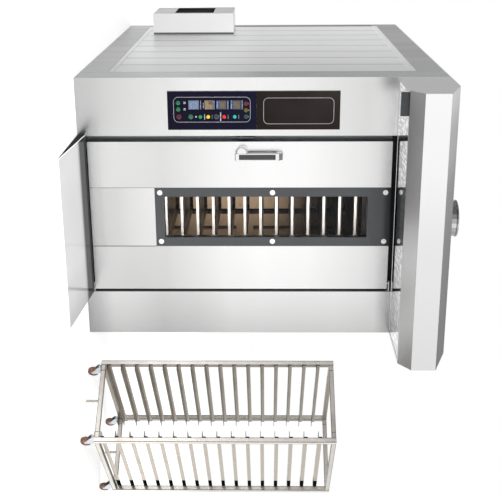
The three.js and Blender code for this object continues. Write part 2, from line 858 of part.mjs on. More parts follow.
function hoodOutline(inset) {
  const faceTop = bodyHeight - hoodFaceTop;
  const faceBottom = faceTop - hoodFaceHeight;
  const back = frontY - seatGap;
  return [
    [back - inset, bodyHeight - inset],
    [frontY - hoodTopDepth, bodyHeight - inset],
    [frontY - hoodDepth + inset, faceTop - inset * 0.6],
    [frontY - hoodDepth + inset, faceBottom + inset * 0.3],
    [frontY - hoodLowerDepth + inset * 1.2, hoodBottom + (inset > 0 ? hoodSheet : 0)],
    [back - inset, hoodBottom + (inset > 0 ? hoodSheet : 0)],
  ];
}

function hoodShell() {
  const outer = prismX(hoodOutline(0), leftX, rightX);
  const inner = prismX(hoodOutline(hoodSheet), leftX + hoodSheet, rightX - hoodSheet);
  const mouth = box(
    leftX + hoodLip, rightX - hoodLip, frontY - hoodLowerDepth + hoodLip, frontY - hoodLip,
    hoodBottom - 1, hoodBottom + hoodSheet + 1,
  );
  const outlet = box(
    flueOffset - flueRadius, flueOffset + flueRadius, frontY - hoodSheet - 2, frontY + 1,
    bodyHeight - hoodFaceTop - 60, bodyHeight - 40,
  );
  return cut(outer, inner, mouth, outlet);
}

// The underside lies on the hood's lip and is stiffened by shallow pressed ribs.
function hoodUnderside() {
  const z0 = hoodBottom + hoodSheet + seatGap;
  const clear = 4;
  const x0 = leftX + hoodSheet + clear;
  const x1 = rightX - hoodSheet - clear;
  const y0 = frontY - hoodLowerDepth + hoodSheet * 1.2 + clear;
  const y1 = frontY - hoodSheet - clear;
  const plate = box(x0, x1, y0, y1, z0, z0 + 3);
  const ribs = [];
  const margin = hoodLip + 20;
  const left = leftX + margin;
  const right = rightX - margin;
  const span = hoodLowerDepth - 2 * margin;
  for (let i = 0; i < hoodRibs; i += 1) {
    const y = frontY - hoodLowerDepth + margin + (span * i) / (hoodRibs - 1);
    ribs.push(prismX([[y - 12, z0 + 1], [y - 5, z0 - 4], [y + 5, z0 - 4], [y + 12, z0 + 1]], left, right));
  }
  return join(plate, ribs);
}

function flueCollar() {
  const z0 = bodyHeight + seatGap;
  return turned([
    [flueRadius - flueWall, z0],
    [flueRadius + 30, z0],
    [flueRadius + 30, z0 + 4],
    [flueRadius, z0 + 4],
    [flueRadius, z0 + flueHeight - 14],
    [flueRadius + 5, z0 + flueHeight - 10],
    [flueRadius + 5, z0 + flueHeight],
    [flueRadius - flueWall, z0 + flueHeight],
  ], 24).translate([flueOffset, frontY + flueSetback, 0]);
}

function entryRamp() {
  const x0 = doorLeft - rampSideOverlap;
  const x1 = rightColumnLeft;
  const y1 = frontY - seatGap;
  const y0 = frontY - rampDepth;
  const plate = [[y1, baseHeight - rampSheet], [y0 + 8, 0], [y0, 0], [y0, rampSheet], [y1, baseHeight]];
  const web = [[y0, 0], [y0, rampSheet], [y1, baseHeight], [y1, 0]];
  const top = prismX(plate, x0, x1);
  const skirt = (x) => prismX(web, x, x + rampSheet);
  return join(top, skirt(x0), skirt(x1 - rampSheet), skirt((x0 + x1 - rampSheet) / 2));
}

// ---------------------------------------------------------------------------------------------
// Door, handle and latch
// ---------------------------------------------------------------------------------------------

const bandLeft = doorCentre - windowBandWidth / 2;
const bandRight = doorCentre + windowBandWidth / 2;
const frameBottom = doorBottom + windowFrameBottom;
const glassLeft = bandLeft + windowSide;
const glassRight = bandRight - windowSide;
const glassBottom = frameBottom + windowBottomMargin;
const glassTop = doorTop - windowTopMargin;
const coreFront = frontY + doorSkin + seatGap;
const hubX = doorLeft + handleSetback;
const boltY = frontY + doorThickness / 2;

function doorCore() {
  const core = box(doorLeft, doorRight, coreFront, doorRear, doorBottom, doorTop);
  const tunnel = box(glassLeft, glassRight, coreFront - 1, doorRear + 1, glassBottom, glassTop);
  const lap = glassLap + seatGap;
  const rebate = (from, to) => box(
    glassLeft - lap, glassRight + lap, from, to, glassBottom - lap, glassTop + lap,
  );
  const outerRebate = rebate(coreFront - 1, coreFront + glassThickness + 2 * seatGap);
  const innerRebate = rebate(doorRear - glassThickness - 2 * seatGap, doorRear + 1);
  const halfY = boltThickness / 2 + runningGap;
  const halfZ = boltHeight / 2 + runningGap;
  const channel = box(
    doorLeft - 1, doorLeft + boltLength + boltTravel + 28, boltY - halfY, boltY + halfY,
    latchHeight - halfZ, latchHeight + halfZ,
  );
  const pin = (from, to) => cylinder('z', from, to, pivotX, pivotY, pivotRadius, 20);
  const lowerPin = pin(doorBottom - pivotLength + 4, doorBottom + 5);
  const upperPin = pin(doorTop - 5, doorTop + (doorHeadGap + bracketPlate) / 2);
  return join(cut(core, tunnel, outerRebate, innerRebate, channel), lowerPin, upperPin);
}

function doorSkinPanel() {
  const plate = box(doorLeft, doorRight, frontY, frontY + doorSkin, doorBottom, doorTop);
  const rear = frontY + doorSkin;
  const windowSpace = box(
    bandLeft - seatGap, bandRight + seatGap, frontY - 1, rear + 1, frameBottom - seatGap, doorTop + 1,
  );
  const seam = (x) => box(
    x - bandGroove / 2, x + bandGroove / 2, frontY - 1, frontY + 3, doorBottom - 1, frameBottom,
  );
  const spindleHole = cylinder('y', frontY - 1, rear + 1, hubX, latchHeight, spindleRadius + seatGap, 16);
  return cut(plate, windowSpace, seam(bandLeft), seam(bandRight), spindleHole);
}

function windowFrame() {
  const front = frontY - windowFrameProud;
  const rear = frontY + doorSkin;
  const plate = box(bandLeft, bandRight, front, rear, frameBottom, doorTop);
  const opening = box(glassLeft, glassRight, front - 1, rear + 1, glassBottom, glassTop);
  const caps = [];
  for (const x of [bandLeft + capInset, bandRight - capInset]) {
    for (const z of [frameBottom + capInset, (frameBottom + doorTop) / 2, doorTop - capInset]) {
      caps.push(cylinder('y', front - capHeight, front + 1, x, z, capRadius, 12));
    }
  }
  return join(cut(plate, opening), caps);
}

function pane(y0) {
  return box(
    glassLeft - glassLap, glassRight + glassLap, y0, y0 + glassThickness,
    glassBottom - glassLap, glassTop + glassLap,
  );
}

// The seal runs up the free edge, along the head and down the hinge edge.
function doorGasket() {
  const y0 = doorRear + seatGap;
  const y1 = y0 + gasketThickness;
  const x0 = doorLeft + gasketInset;
  const x1 = openingRight + frameOverlap - gasketInset;
  const z1 = doorTop - gasketInset;
  const outer = box(x0, x1, y0, y1, doorBottom + 4, z1);
  const inner = box(x0 + gasketWidth, x1 - gasketWidth, y0 - 1, y1 + 1, doorBottom, z1 - gasketWidth);
  return cut(outer, inner);
}

const escutcheonFront = frontY - seatGap - escutcheonThickness;
const leverFront = frontY - handleStandOff;

function handleEscutcheon() {
  const disc = cylinder('y', escutcheonFront, frontY - seatGap, hubX, latchHeight, escutcheonRadius, 24);
  const bore = cylinder('y', escutcheonFront - 1, frontY, hubX, latchHeight, spindleRadius + seatGap, 16);
  return cut(disc, bore);
}

function handleLever() {
  const rear = leverFront + leverThickness;
  const returnRear = frontY - leverReturnGap;
  const z0 = latchHeight - leverBelowHub;
  const z1 = latchHeight + leverAboveHub;
  const x0 = hubX + leverOffset - leverWidth / 2;
  const outline = [
    [leverFront + 5, z0],
    [rear, z0],
    [rear, z1 - 42],
    [returnRear, z1 - 24],
    [returnRear, z1],
    [leverFront + 22, z1],
    [leverFront, z1 - 24],
    [leverFront, z0 + 5],
  ];
  const bar = prismX(outline, x0, x0 + leverWidth);
  const hub = cylinder('y', leverFront + 6, escutcheonFront - seatGap, hubX, latchHeight, hubRadius, 24);
  const spindleEnd = frontY + doorSkin - 1;
  const spindle = cylinder('y', escutcheonFront - 2, spindleEnd, hubX, latchHeight, spindleRadius, 16);
  return join(bar, hub, spindle);
}

function handleGrip() {
  const x = hubX + leverOffset;
  const z0 = latchHeight - gripBelowHub;
  const y1 = leverFront - seatGap;
  return box(x - gripWidth / 2, x + gripWidth / 2, y1 - gripProud, y1, z0, z0 + gripLength);
}

const strikeFace = columnRight + seatGap + strikeReach;

function strikePlate() {
  const block = box(
    columnRight + seatGap, strikeFace, boltY - strikeDepth / 2, boltY + strikeDepth / 2,
    latchHeight - strikeHeight * 0.3, latchHeight + strikeHeight * 0.7,
  );
  const halfY = boltThickness / 2 + keeperClearance;
  const halfZ = boltHeight / 2 + keeperClearance;
  const keeper = box(
    strikeFace - strikeReach / 2, strikeFace + 1, boltY - halfY, boltY + halfY,
    latchHeight - halfZ, latchHeight + halfZ,
  );
  return cut(block, keeper);
}

// The nose stands just clear of the strike, so that the door also swings with the bolt out.
function latchBolt() {
  const nose = strikeFace + boltNoseGap;
  const y0 = boltY - boltThickness / 2;
  const y1 = boltY + boltThickness / 2;
  const half = boltHeight / 2;
  const body = box(nose, doorLeft + boltLength, y0, y1, latchHeight - half, latchHeight + half);
  const bevel = prismZ([[nose - 1, y1 - 5], [nose + 6, y1 + 1], [nose - 1, y1 + 1]], 0, bodyHeight);
  return cut(body, bevel);
}

// ---------------------------------------------------------------------------------------------
// Control panel
// ---------------------------------------------------------------------------------------------

const plateCentre = (leftX + columnRight) / 2 + plateCentreOffset;
const plateRear = frontY - seatGap;
const plateFront = plateRear - plateThickness;
const moduleX = plateCentre + moduleOffset;
const buttonX = plateCentre + buttonOffset;

// name, height above the plate's lower edge, height of the window, finish
const modules = [
  ['upper_temperature_display', 420, 51, plastic(0x4b4a52)],
  ['lower_temperature_display', 329, 50, plastic(0x4b4a52)],
  ['baking_timer', 239, 54, plastic(0x9a8a6c)],
  ['programme_keypad', 136, 66, plastic(0x77839c)],
];

// name, height above the plate's lower edge, finish
const buttons = [
  ['light_button', 432, plastic(0x1aa39a)],
  ['stop_button', 364, plastic(0xd0222e)],
  ['buzzer_button', 314, plastic(0x2a2c33)],
  ['steam_button', 261, plastic(0xe2c21e)],
  ['start_button', 211, plastic(0x0b8a55)],
  ['damper_button', 149, plastic(0x1c5a3c)],
  ['reset_button', 73, plastic(0x5a1a24)],
];

const rotaries = [
  ['burner_switch', -90],
  ['rotation_switch', -49],
];

const lamps = [
  ['heating_lamp', 0, plastic(0x7a1f22)],
  ['fan_lamp', 1, plastic(0x8a7020)],
  ['power_lamp', 2, plastic(0x1d4a30)],
];

const rotaryX = (offset) => buttonX + offset;
const lampX = (place) => buttonX - (2 - place) * lampPitch;

function lowerControlPlate() {
  const plate = box(
    plateCentre - plateWidth / 2, plateCentre + plateWidth / 2, plateFront, plateRear,
    lowerPlateBottom, lowerPlateBottom + lowerPlateHeight - seatGap,
  );
  const pockets = [];
  const halfModule = moduleWidth / 2 + seatGap;
  for (const [, low, high] of modules) {
    const z = lowerPlateBottom + low;
    pockets.push(box(
      moduleX - halfModule, moduleX + halfModule, plateFront - 1, plateFront + modulePocket,
      z - seatGap, z + high + seatGap,
    ));
  }
  const sides = 10;
  const round = (x, z, radius) => {
    const around = roundClear(radius, sides);
    return cylinder('y', plateFront - 1, plateFront + buttonPocket, x, lowerPlateBottom + z, around, sides);
  };
  for (const [, z] of buttons) {
    pockets.push(round(buttonX, z, buttonRadius + runningGap));
  }
  for (const [, offset] of rotaries) {
    pockets.push(round(rotaryX(offset), rotaryRow, rotaryStem + runningGap));
  }
  for (const [, place] of lamps) {
    pockets.push(round(lampX(place), lampRow, lampRadius + seatGap));
  }
  return cut(plate, pockets);
}

function upperControlPlate() {
  const z0 = lowerPlateBottom + lowerPlateHeight;
  return box(
    plateCentre - plateWidth / 2, plateCentre + plateWidth / 2, plateFront, plateRear,
    z0, z0 + upperPlateHeight,
  );
}

function module(low, high) {
  const z = lowerPlateBottom + low;
  const front = plateFront - moduleProud;
  const half = moduleWidth / 2;
  const body = box(
    moduleX - half, moduleX + half, front, plateFront + modulePocket - seatGap, z, z + high,
  );
  const inner = half - bezel;
  const screen = box(
    moduleX - inner, moduleX + inner, front - 1, front + screenDepth, z + bezel, z + high - bezel,
  );
  return cut(body, screen);
}

// A turned cap on a stem, drawn at the plate's front with its axis along Y.
function cap(x, z, profile) {
  return turned(profile, 16).rotate([90, 0, 0]).translate([x, plateFront, lowerPlateBottom + z]);
}

function pushButton(z) {
  const r = buttonRadius;
  return cap(buttonX, z, [
    [0, buttonProud - buttonLength],
    [r, buttonProud - buttonLength],
    [r, buttonProud - 2],
    [r - 2, buttonProud],
    [0, buttonProud],
  ]);
}

function lamp(place) {
  const r = lampRadius;
  return cap(lampX(place), lampRow, [
    [0, seatGap - buttonPocket],
    [r, seatGap - buttonPocket],
    [r, 2],
    [r * 0.75, lampProud * 0.8],
    [0, lampProud],
  ]);
}

function rotarySwitch(offset) {
  const r = rotaryRadius;
  const x = rotaryX(offset);
  const knob = cap(x, rotaryRow, [
    [0, 1 - buttonPocket],
    [rotaryStem, 1 - buttonPocket],
    [rotaryStem, runningGap],
    [r, runningGap],
    [r, 5],
    [0, 5],
  ]);
  const z = lowerPlateBottom + rotaryRow;
  const lever = box(x - 3.5, x + 3.5, plateFront - rotaryProud, plateFront - 3, z - r + 1, z + r - 1);
  return join(knob, lever);
}

// ---------------------------------------------------------------------------------------------
// Racks, in their own frames: width along X, depth along Y, standing on z = 0
// ---------------------------------------------------------------------------------------------

// Two posts and a ladder of L rails on each side, joined by frames at the top and the bottom.
function rackFrame(width, depth, height, topGap, bottomGap, overhang) {
  const halfWidth = width / 2;
  const halfDepth = depth / 2;
  const z0 = casterHeight;
  const parts = [];
  for (const x of [-halfWidth, halfWidth - postSize]) {
    for (const y of [-halfDepth, halfDepth - postSize]) {
      parts.push(box(x, x + postSize, y, y + postSize, z0, height));
    }
  }
  const inset = (postSize - frameRail) / 2;
  for (const z of [z0 + inset, height - inset - frameRail]) {
    for (const y of [-halfDepth + inset, halfDepth - inset - frameRail]) {
      parts.push(box(-halfWidth + 5, halfWidth - 5, y, y + frameRail, z, z + frameRail));
    }
    for (const x of [-halfWidth + inset, halfWidth - inset - frameRail]) {
      parts.push(box(x, x + frameRail, -halfDepth + 5, halfDepth - 5, z, z + frameRail));
    }
  }
  const innerFace = halfWidth - postSize;
  const lowest = z0 + bottomGap;
  const pitch = (height - topGap - lowest) / (levels - 1);
  for (let level = 0; level < levels; level += 1) {
    const z = lowest + level * pitch;
    const rail = [
      [innerFace + inset, z],
      [innerFace - railLip, z],
      [innerFace - railLip, z + railSheet],
      [innerFace - railSheet, z + railSheet],
      [innerFace - railSheet, z + railHeight],
      [innerFace + inset, z + railHeight],
    ];
    const right = prismY(rail.reverse(), -halfDepth - overhang, halfDepth + overhang);
    parts.push(right, mirroredX(right));
  }
  for (const side of [-1, 1]) {
    const y = side * (halfDepth - postSize / 2);
    parts.push(cylinder('z', locatingPinGap, z0 + 5, 0, y, locatingPinRadius, 12));
  }
  return { body: join(parts), lowest, pitch, innerFace };
}

function casterPlaces(width, depth) {
  const places = [];
  for (const y of [-1, 1]) {
    for (const x of [-1, 1]) {
      places.push([x * (width / 2 - casterInset), y * (depth / 2 - casterInset)]);
    }
  }
  return places;
}

// The plate under a corner, with the hole that the kingpin turns in.
function casterPlates(width, depth) {
  return casterPlaces(width, depth).map(([x, y]) => {
    const half = casterPlateSize / 2;
    const under = casterHeight - casterPlate;
    const plate = box(x - half, x + half, y - half, y + half, under, casterHeight + 4);
    const hole = cylinder('z', under - 1, casterHeight + 8, x, y, roundClear(kingpin + seatGap, 8), 8);
    return { plate, hole };
  });
}

// A fork with its kingpin on the Z axis and its wheel trailing towards +X.
function casterFork() {
  const top = casterHeight - casterPlate - seatGap;
  const legInner = wheelWidth / 2 + forkGap;
  const crownZ = top - 10 - crownThickness;
  const disc = turned([
    [0, top - 10],
    [swivelRadius, top - 10],
    [swivelRadius, top - 3],
    [swivelRadius - 4, top],
    [0, top],
  ], 12);
  const pin = cylinder('z', top - 2, top + casterPlate, 0, 0, kingpin, 8);
  const legs = [];
  const outline = [
    [-swivelRadius, crownZ + crownThickness],
    [-swivelRadius, crownZ - 4],
    [casterTrail - 11, wheelRadius - 4],
    [casterTrail - 6, wheelRadius - 11],
    [casterTrail + 6, wheelRadius - 11],
    [casterTrail + 11, wheelRadius],
    [casterTrail + 4, crownZ + crownThickness],
  ];
  for (const y of [-legInner - forkSheet, legInner]) {
    legs.push(prismY(outline, y, y + forkSheet));
  }
  const crownHalf = legInner + forkSheet - 0.5;
  const crown = box(
    -swivelRadius, casterTrail + 2, -crownHalf, crownHalf, crownZ, crownZ + crownThickness,
  );
  const axleHalf = legInner + forkSheet + 3;
  const axle = cylinder('y', -axleHalf, axleHalf, casterTrail, wheelRadius, axleRadius, 8);
  return join(disc, pin, legs, crown, axle);
}

function casterWheel(bore) {
  const half = wheelWidth / 2;
  const profile = [
    [bore, -half],
    [wheelRadius * 0.5, -half + 3],
    [wheelRadius - 3, -half],
    [wheelRadius, -half + 4],
    [wheelRadius, half - 4],
    [wheelRadius - 3, half],
    [wheelRadius * 0.5, half - 3],
    [bore, half],
  ];
  return turned(profile, 16).rotate([90, 0, 0]).translate([casterTrail, 0, wheelRadius]);
}

function tray(z, innerFace, depth) {
  const x1 = innerFace - railSheet - traySideGap;
  const y1 = depth / 2 - trayEndGap;
  const z0 = z + railSheet - 0.5;
  const outer = box(-x1, x1, -y1, y1, z0, z0 + trayRim);
  const x2 = x1 - trayWall;
  const y2 = y1 - trayWall;
  const inside = box(-x2, x2, -y2, y2, z0 + trayWall, z0 + trayRim + 1);
  return cut(outer, inside);
}

// The loaded rack: frame, casters and trays in one welded and loaded unit on the turntable.
function loadedRack() {
  const height = chamberTop - loadedHeadroom - baseHeight;
  const frame = rackFrame(loadedWidth, loadedDepth, height, loadedTopGap, loadedBottomGap, -postSize / 4);
  const trays = [];
  for (let level = levels - loadedLevels; level < levels; level += 1) {
    trays.push(tray(frame.lowest + level * frame.pitch, frame.innerFace, loadedDepth));
  }
  const plates = casterPlates(loadedWidth, loadedDepth).map(({ plate }) => plate);
  const half = wheelWidth / 2;
  const legHalf = half + forkGap;
  const legs = box(-swivelRadius, casterTrail, -legHalf, legHalf, wheelRadius + 6, casterHeight);
  const wheel = cylinder('y', -half, half, casterTrail, wheelRadius, wheelRadius, 12);
  const caster = join(legs, wheel).rotate([0, 0, 90]);
  const casters = casterPlaces(loadedWidth, loadedDepth).map(([x, y]) => caster.translate([x, y, 0]));
  return join(frame.body, trays, plates, casters).translate([tableX, tableY, baseHeight + seatGap]);
}

// ---------------------------------------------------------------------------------------------
// The scene
// ---------------------------------------------------------------------------------------------

oven.add(
  mesh('base_frame', baseFrame(), darkSteel),
  mesh('chamber_shell', chamberShell(), heatSteel),
  mesh('left_side_cladding', leftSideCladding(), sideSteel),
  mesh('right_side_cladding', mirroredX(sideCladding()), sideSteel),
  mesh('rear_cladding', rearCladding(), sideSteel),
  mesh('roof_panel', roofPanel(), sideSteel),
  mesh('left_front_column', column(leftX, columnRight), steel),
  mesh('right_front_column', rightFrontColumn(), steel),
  mesh('hood_shell', hoodShell(), hoodSteel),
  mesh('hood_underside_panel', hoodUnderside(), polished),
  mesh('flue_collar', flueCollar(), hoodSteel),
  mesh('entry_ramp', entryRamp(), polished),
  mesh('upper_control_plate', upperControlPlate(), blackPlate),
  mesh('lower_control_plate', lowerControlPlate(), navyPlate),
  mesh('burner_cover', burnerCover(), white),
  mesh('burner', burner(), burnerRed),
  mesh('heat_exchanger', heatExchanger(), heatSteel),
  mesh('fan_motor', fanMotor(), castIron),
  mesh('rack_gearmotor', rackGearmotor(), castIron),
  mesh('drive_chain', driveChain(), castIron),
  mesh('strike_plate', strikePlate(), darkSteel),
);

for (const [name, low, high, finish] of modules) {
  oven.add(mesh(name, module(low, high), finish));
}
for (const [name, place, finish] of lamps) {
  oven.add(mesh(name, lamp(place), finish));
}
for (const [name, z, finish] of buttons) {
  oven.add(mesh(name, pushButton(z), finish));
}
for (const [name, offset] of rotaries) {
  oven.add(mesh(name, rotarySwitch(offset), plastic(0x14663f)));
}

const turntableGroup = new THREE.Group();
turntableGroup.add(
  mesh('turntable', turntable(), darkSteel),
  mesh('loaded_rack', loadedRack(), rackSteel),
);

const doorGroup = new THREE.Group();
doorGroup.add(
  mesh('door_core', doorCore(), steel),
  mesh('door_skin', doorSkinPanel(), steel),
  mesh('window_frame', windowFrame(), darkSteel),
  mesh('outer_glass', pane(coreFront + seatGap), glass),
  mesh('inner_glass', pane(doorRear - glassThickness - seatGap), glass),
  mesh('door_gasket', doorGasket(), seal),
  mesh('handle_escutcheon', handleEscutcheon(), polished),
  mesh('handle_lever', handleLever(), polished),
  mesh('handle_grip', handleGrip(), grip),
  mesh('latch_bolt', latchBolt(), polished),
);

oven.add(
  turntableGroup,
  doorGroup,
  mesh('drive_sprocket', driveSprocket(), castIron),
  mesh('circulation_fan', circulationFan(), zinc),
);

// The trolley stands beside the oven, turned, with its casters trailing to one side.
const trolley = new THREE.Group();
trolley.position.set(trolleyX, trolleyY, 0);
trolley.rotation.z = THREE.MathUtils.degToRad(trolleyTurn);

const trolleyFrame = rackFrame(
  trolleyWidth, trolleyDepth, trolleyHeight, trolleyTopGap, trolleyBottomGap, railOverhang,
);
const trolleyPlates = casterPlates(trolleyWidth, trolleyDepth);
trolley.add(mesh('trolley_frame', cut(
  join(trolleyFrame.body, trolleyPlates.map(({ plate }) => plate)),
  trolleyPlates.map(({ hole }) => hole),
), rackSteel));

const casterNames = ['front_left', 'front_right', 'rear_left', 'rear_right'];
casterPlaces(trolleyWidth, trolleyDepth).forEach(([x, y], index) => {
  const caster = new THREE.Group();
  caster.position.set(x, y, 0);
  caster.rotation.z = THREE.MathUtils.degToRad(casterTurn);
  caster.add(
    mesh(`${casterNames[index]}_fork`, casterFork(), zinc),
    mesh(`${casterNames[index]}_wheel`, casterWheel(axleRadius + seatGap), wheelBrown),
  );
  trolley.add(caster);
});
oven.add(trolley);

export default oven;
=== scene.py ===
import math

import bmesh
import bpy
from bpy.props import FloatProperty, FloatVectorProperty, IntProperty, PointerProperty
from mathutils import Matrix, Vector


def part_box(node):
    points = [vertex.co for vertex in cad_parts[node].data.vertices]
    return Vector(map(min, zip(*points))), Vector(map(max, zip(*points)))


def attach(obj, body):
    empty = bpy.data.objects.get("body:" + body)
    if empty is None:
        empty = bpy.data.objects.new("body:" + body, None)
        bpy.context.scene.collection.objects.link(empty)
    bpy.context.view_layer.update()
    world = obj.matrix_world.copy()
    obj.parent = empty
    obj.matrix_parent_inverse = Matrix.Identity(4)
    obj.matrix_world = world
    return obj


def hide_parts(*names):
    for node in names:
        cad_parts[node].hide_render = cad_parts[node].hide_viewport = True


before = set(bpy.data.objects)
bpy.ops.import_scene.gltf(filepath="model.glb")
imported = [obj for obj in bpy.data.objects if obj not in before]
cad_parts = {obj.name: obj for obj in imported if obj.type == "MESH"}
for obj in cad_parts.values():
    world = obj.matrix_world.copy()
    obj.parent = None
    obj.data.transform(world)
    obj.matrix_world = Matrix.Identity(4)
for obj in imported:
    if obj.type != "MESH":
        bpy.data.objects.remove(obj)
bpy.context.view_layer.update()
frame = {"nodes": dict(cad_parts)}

bl_info = {
    "name": "Rotating rack oven",
    "version": (1, 0, 0),
    "blender": (4, 5, 0),
    "location": "View3D > Sidebar > Rack oven",
    "description": "Dresses a bakery rack oven and its tray trolley with finishes and fine pieces",
    "category": "Object",
}

NODES = frame["nodes"]


# ---------------------------------------------------------------------------------------------
# Sizes and colours that a user would change
# ---------------------------------------------------------------------------------------------

def length(name, description, default):
    return FloatProperty(name=name, description=description, default=default, min=0.0, unit="LENGTH")


def colour(name, description, default):
    return FloatVectorProperty(
        name=name, description=description, default=default, size=3, min=0.0, max=1.0, subtype="COLOR",
    )


class RackOvenSizes(bpy.types.PropertyGroup):
    sheet_edge: length("Sheet edge", "Radius of a folded sheet's edge", 0.002)
    plate_edge: length("Plate edge", "Radius of a thin plate's edge", 0.0008)
    lever_edge: length("Lever edge", "Radius of the handle bar's edges", 0.007)
    border_line: length("Panel border", "Width of the line round the controls", 0.0030)
    border_corner: length("Border corner", "Corner radius of the line round the controls", 0.032)
    ring_width: length("Button ring", "Width of the ring round a push button", 0.0035)
    window_cap: length("Window cap", "Radius of a screw cap on the window frame", 0.0175)
    tray_rim: length("Tray rim", "Thickness of the rolled rim on a baking tray", 0.003)
    facet_lean: length("Facet lean", "Lean of the hood's underside facets, per metre", 0.042)
    hub: length("Wheel hub", "Radius of a caster wheel's hub", 0.0215)
    grip_ribs: IntProperty(
        name="Grip ribs", description="Ribs on the handle's grip", default=3, min=2, max=20,
    )


class RackOvenColours(bpy.types.PropertyGroup):
    front: colour("Front steel", "Brushed steel of the columns and the door", (0.97, 0.97, 0.965))
    side: colour("Side steel", "Brushed steel of the side walls", (0.90, 0.905, 0.91))
    hood: colour("Hood steel", "Brushed steel of the hood", (0.96, 0.96, 0.96))
    frame: colour("Window frame", "Dark steel round the window", (0.072, 0.076, 0.080))
    rack: colour("Rack steel", "Stainless tube of the racks", (0.86, 0.83, 0.79))
    rail: colour("Rail steel", "Stainless angle of the racks' rails", (0.33, 0.295, 0.25))
    chamber: colour("Chamber steel", "Heat-tinted steel of the baking chamber", (0.60, 0.48, 0.36))
    upper_plate: colour("Upper plate", "Bare plate over the controls", (0.009, 0.007, 0.006))
    lower_plate: colour("Lower plate", "Plate that holds the controls", (0.004, 0.004, 0.013))
    tread: colour("Caster tread", "Tread of the trolley's wheels", (0.17, 0.070, 0.036))


def sizes():
    return bpy.context.scene.rack_oven_sizes


def colours():
    return bpy.context.scene.rack_oven_colours


# ---------------------------------------------------------------------------------------------
# Finishes
# ---------------------------------------------------------------------------------------------

class Graph:
    """A node tree, with the steps that the finishes and the room are built from."""

    def __init__(self, tree):
        self.tree = tree

    def node(self, kind):
        return self.tree.nodes.new(f"ShaderNode{kind}")

    def link(self, output, socket):
        self.tree.links.new(output, socket)

    def feed(self, socket, value):
        """Gives a socket a plain number, or links another node's output to it."""
        if isinstance(value, (int, float)):
            socket.default_value = value
        else:
            self.link(value, socket)

    def split(self, vector, axis):
        node = self.node("SeparateXYZ")
        self.link(vector, node.inputs["Vector"])
        return node.outputs[axis]

    def spread(self, value, low, high, to_low=0.0, to_high=1.0, smooth=False):
        """A value's run from low to high, turned into a run from to_low to to_high."""
        node = self.node("MapRange")
        node.interpolation_type = "SMOOTHSTEP" if smooth else "LINEAR"
        self.link(value, node.inputs["Value"])
        names = ("From Min", "From Max", "To Min", "To Max")
        for socket, number in zip(names, (low, high, to_low, to_high)):
            node.inputs[socket].default_value = number
        return node.outputs["Result"]

    def combine(self, operation, first, second=0.0):
        node = self.node("Math")
        node.operation = operation
        self.feed(node.inputs[0], first)
        self.feed(node.inputs[1], second)
        return node.outputs["Value"]

    def times(self, first, second):
        return self.combine("MULTIPLY", first, second)

    def either(self, first, second):
        return self.combine("MAXIMUM", first, second)

    def inverse(self, share):
        return self.combine("SUBTRACT", 1.0, share)

    def absolute(self, value):
        return self.combine("ABSOLUTE", value)

    def distance(self, value, place):
        return self.absolute(self.combine("SUBTRACT", value, place))


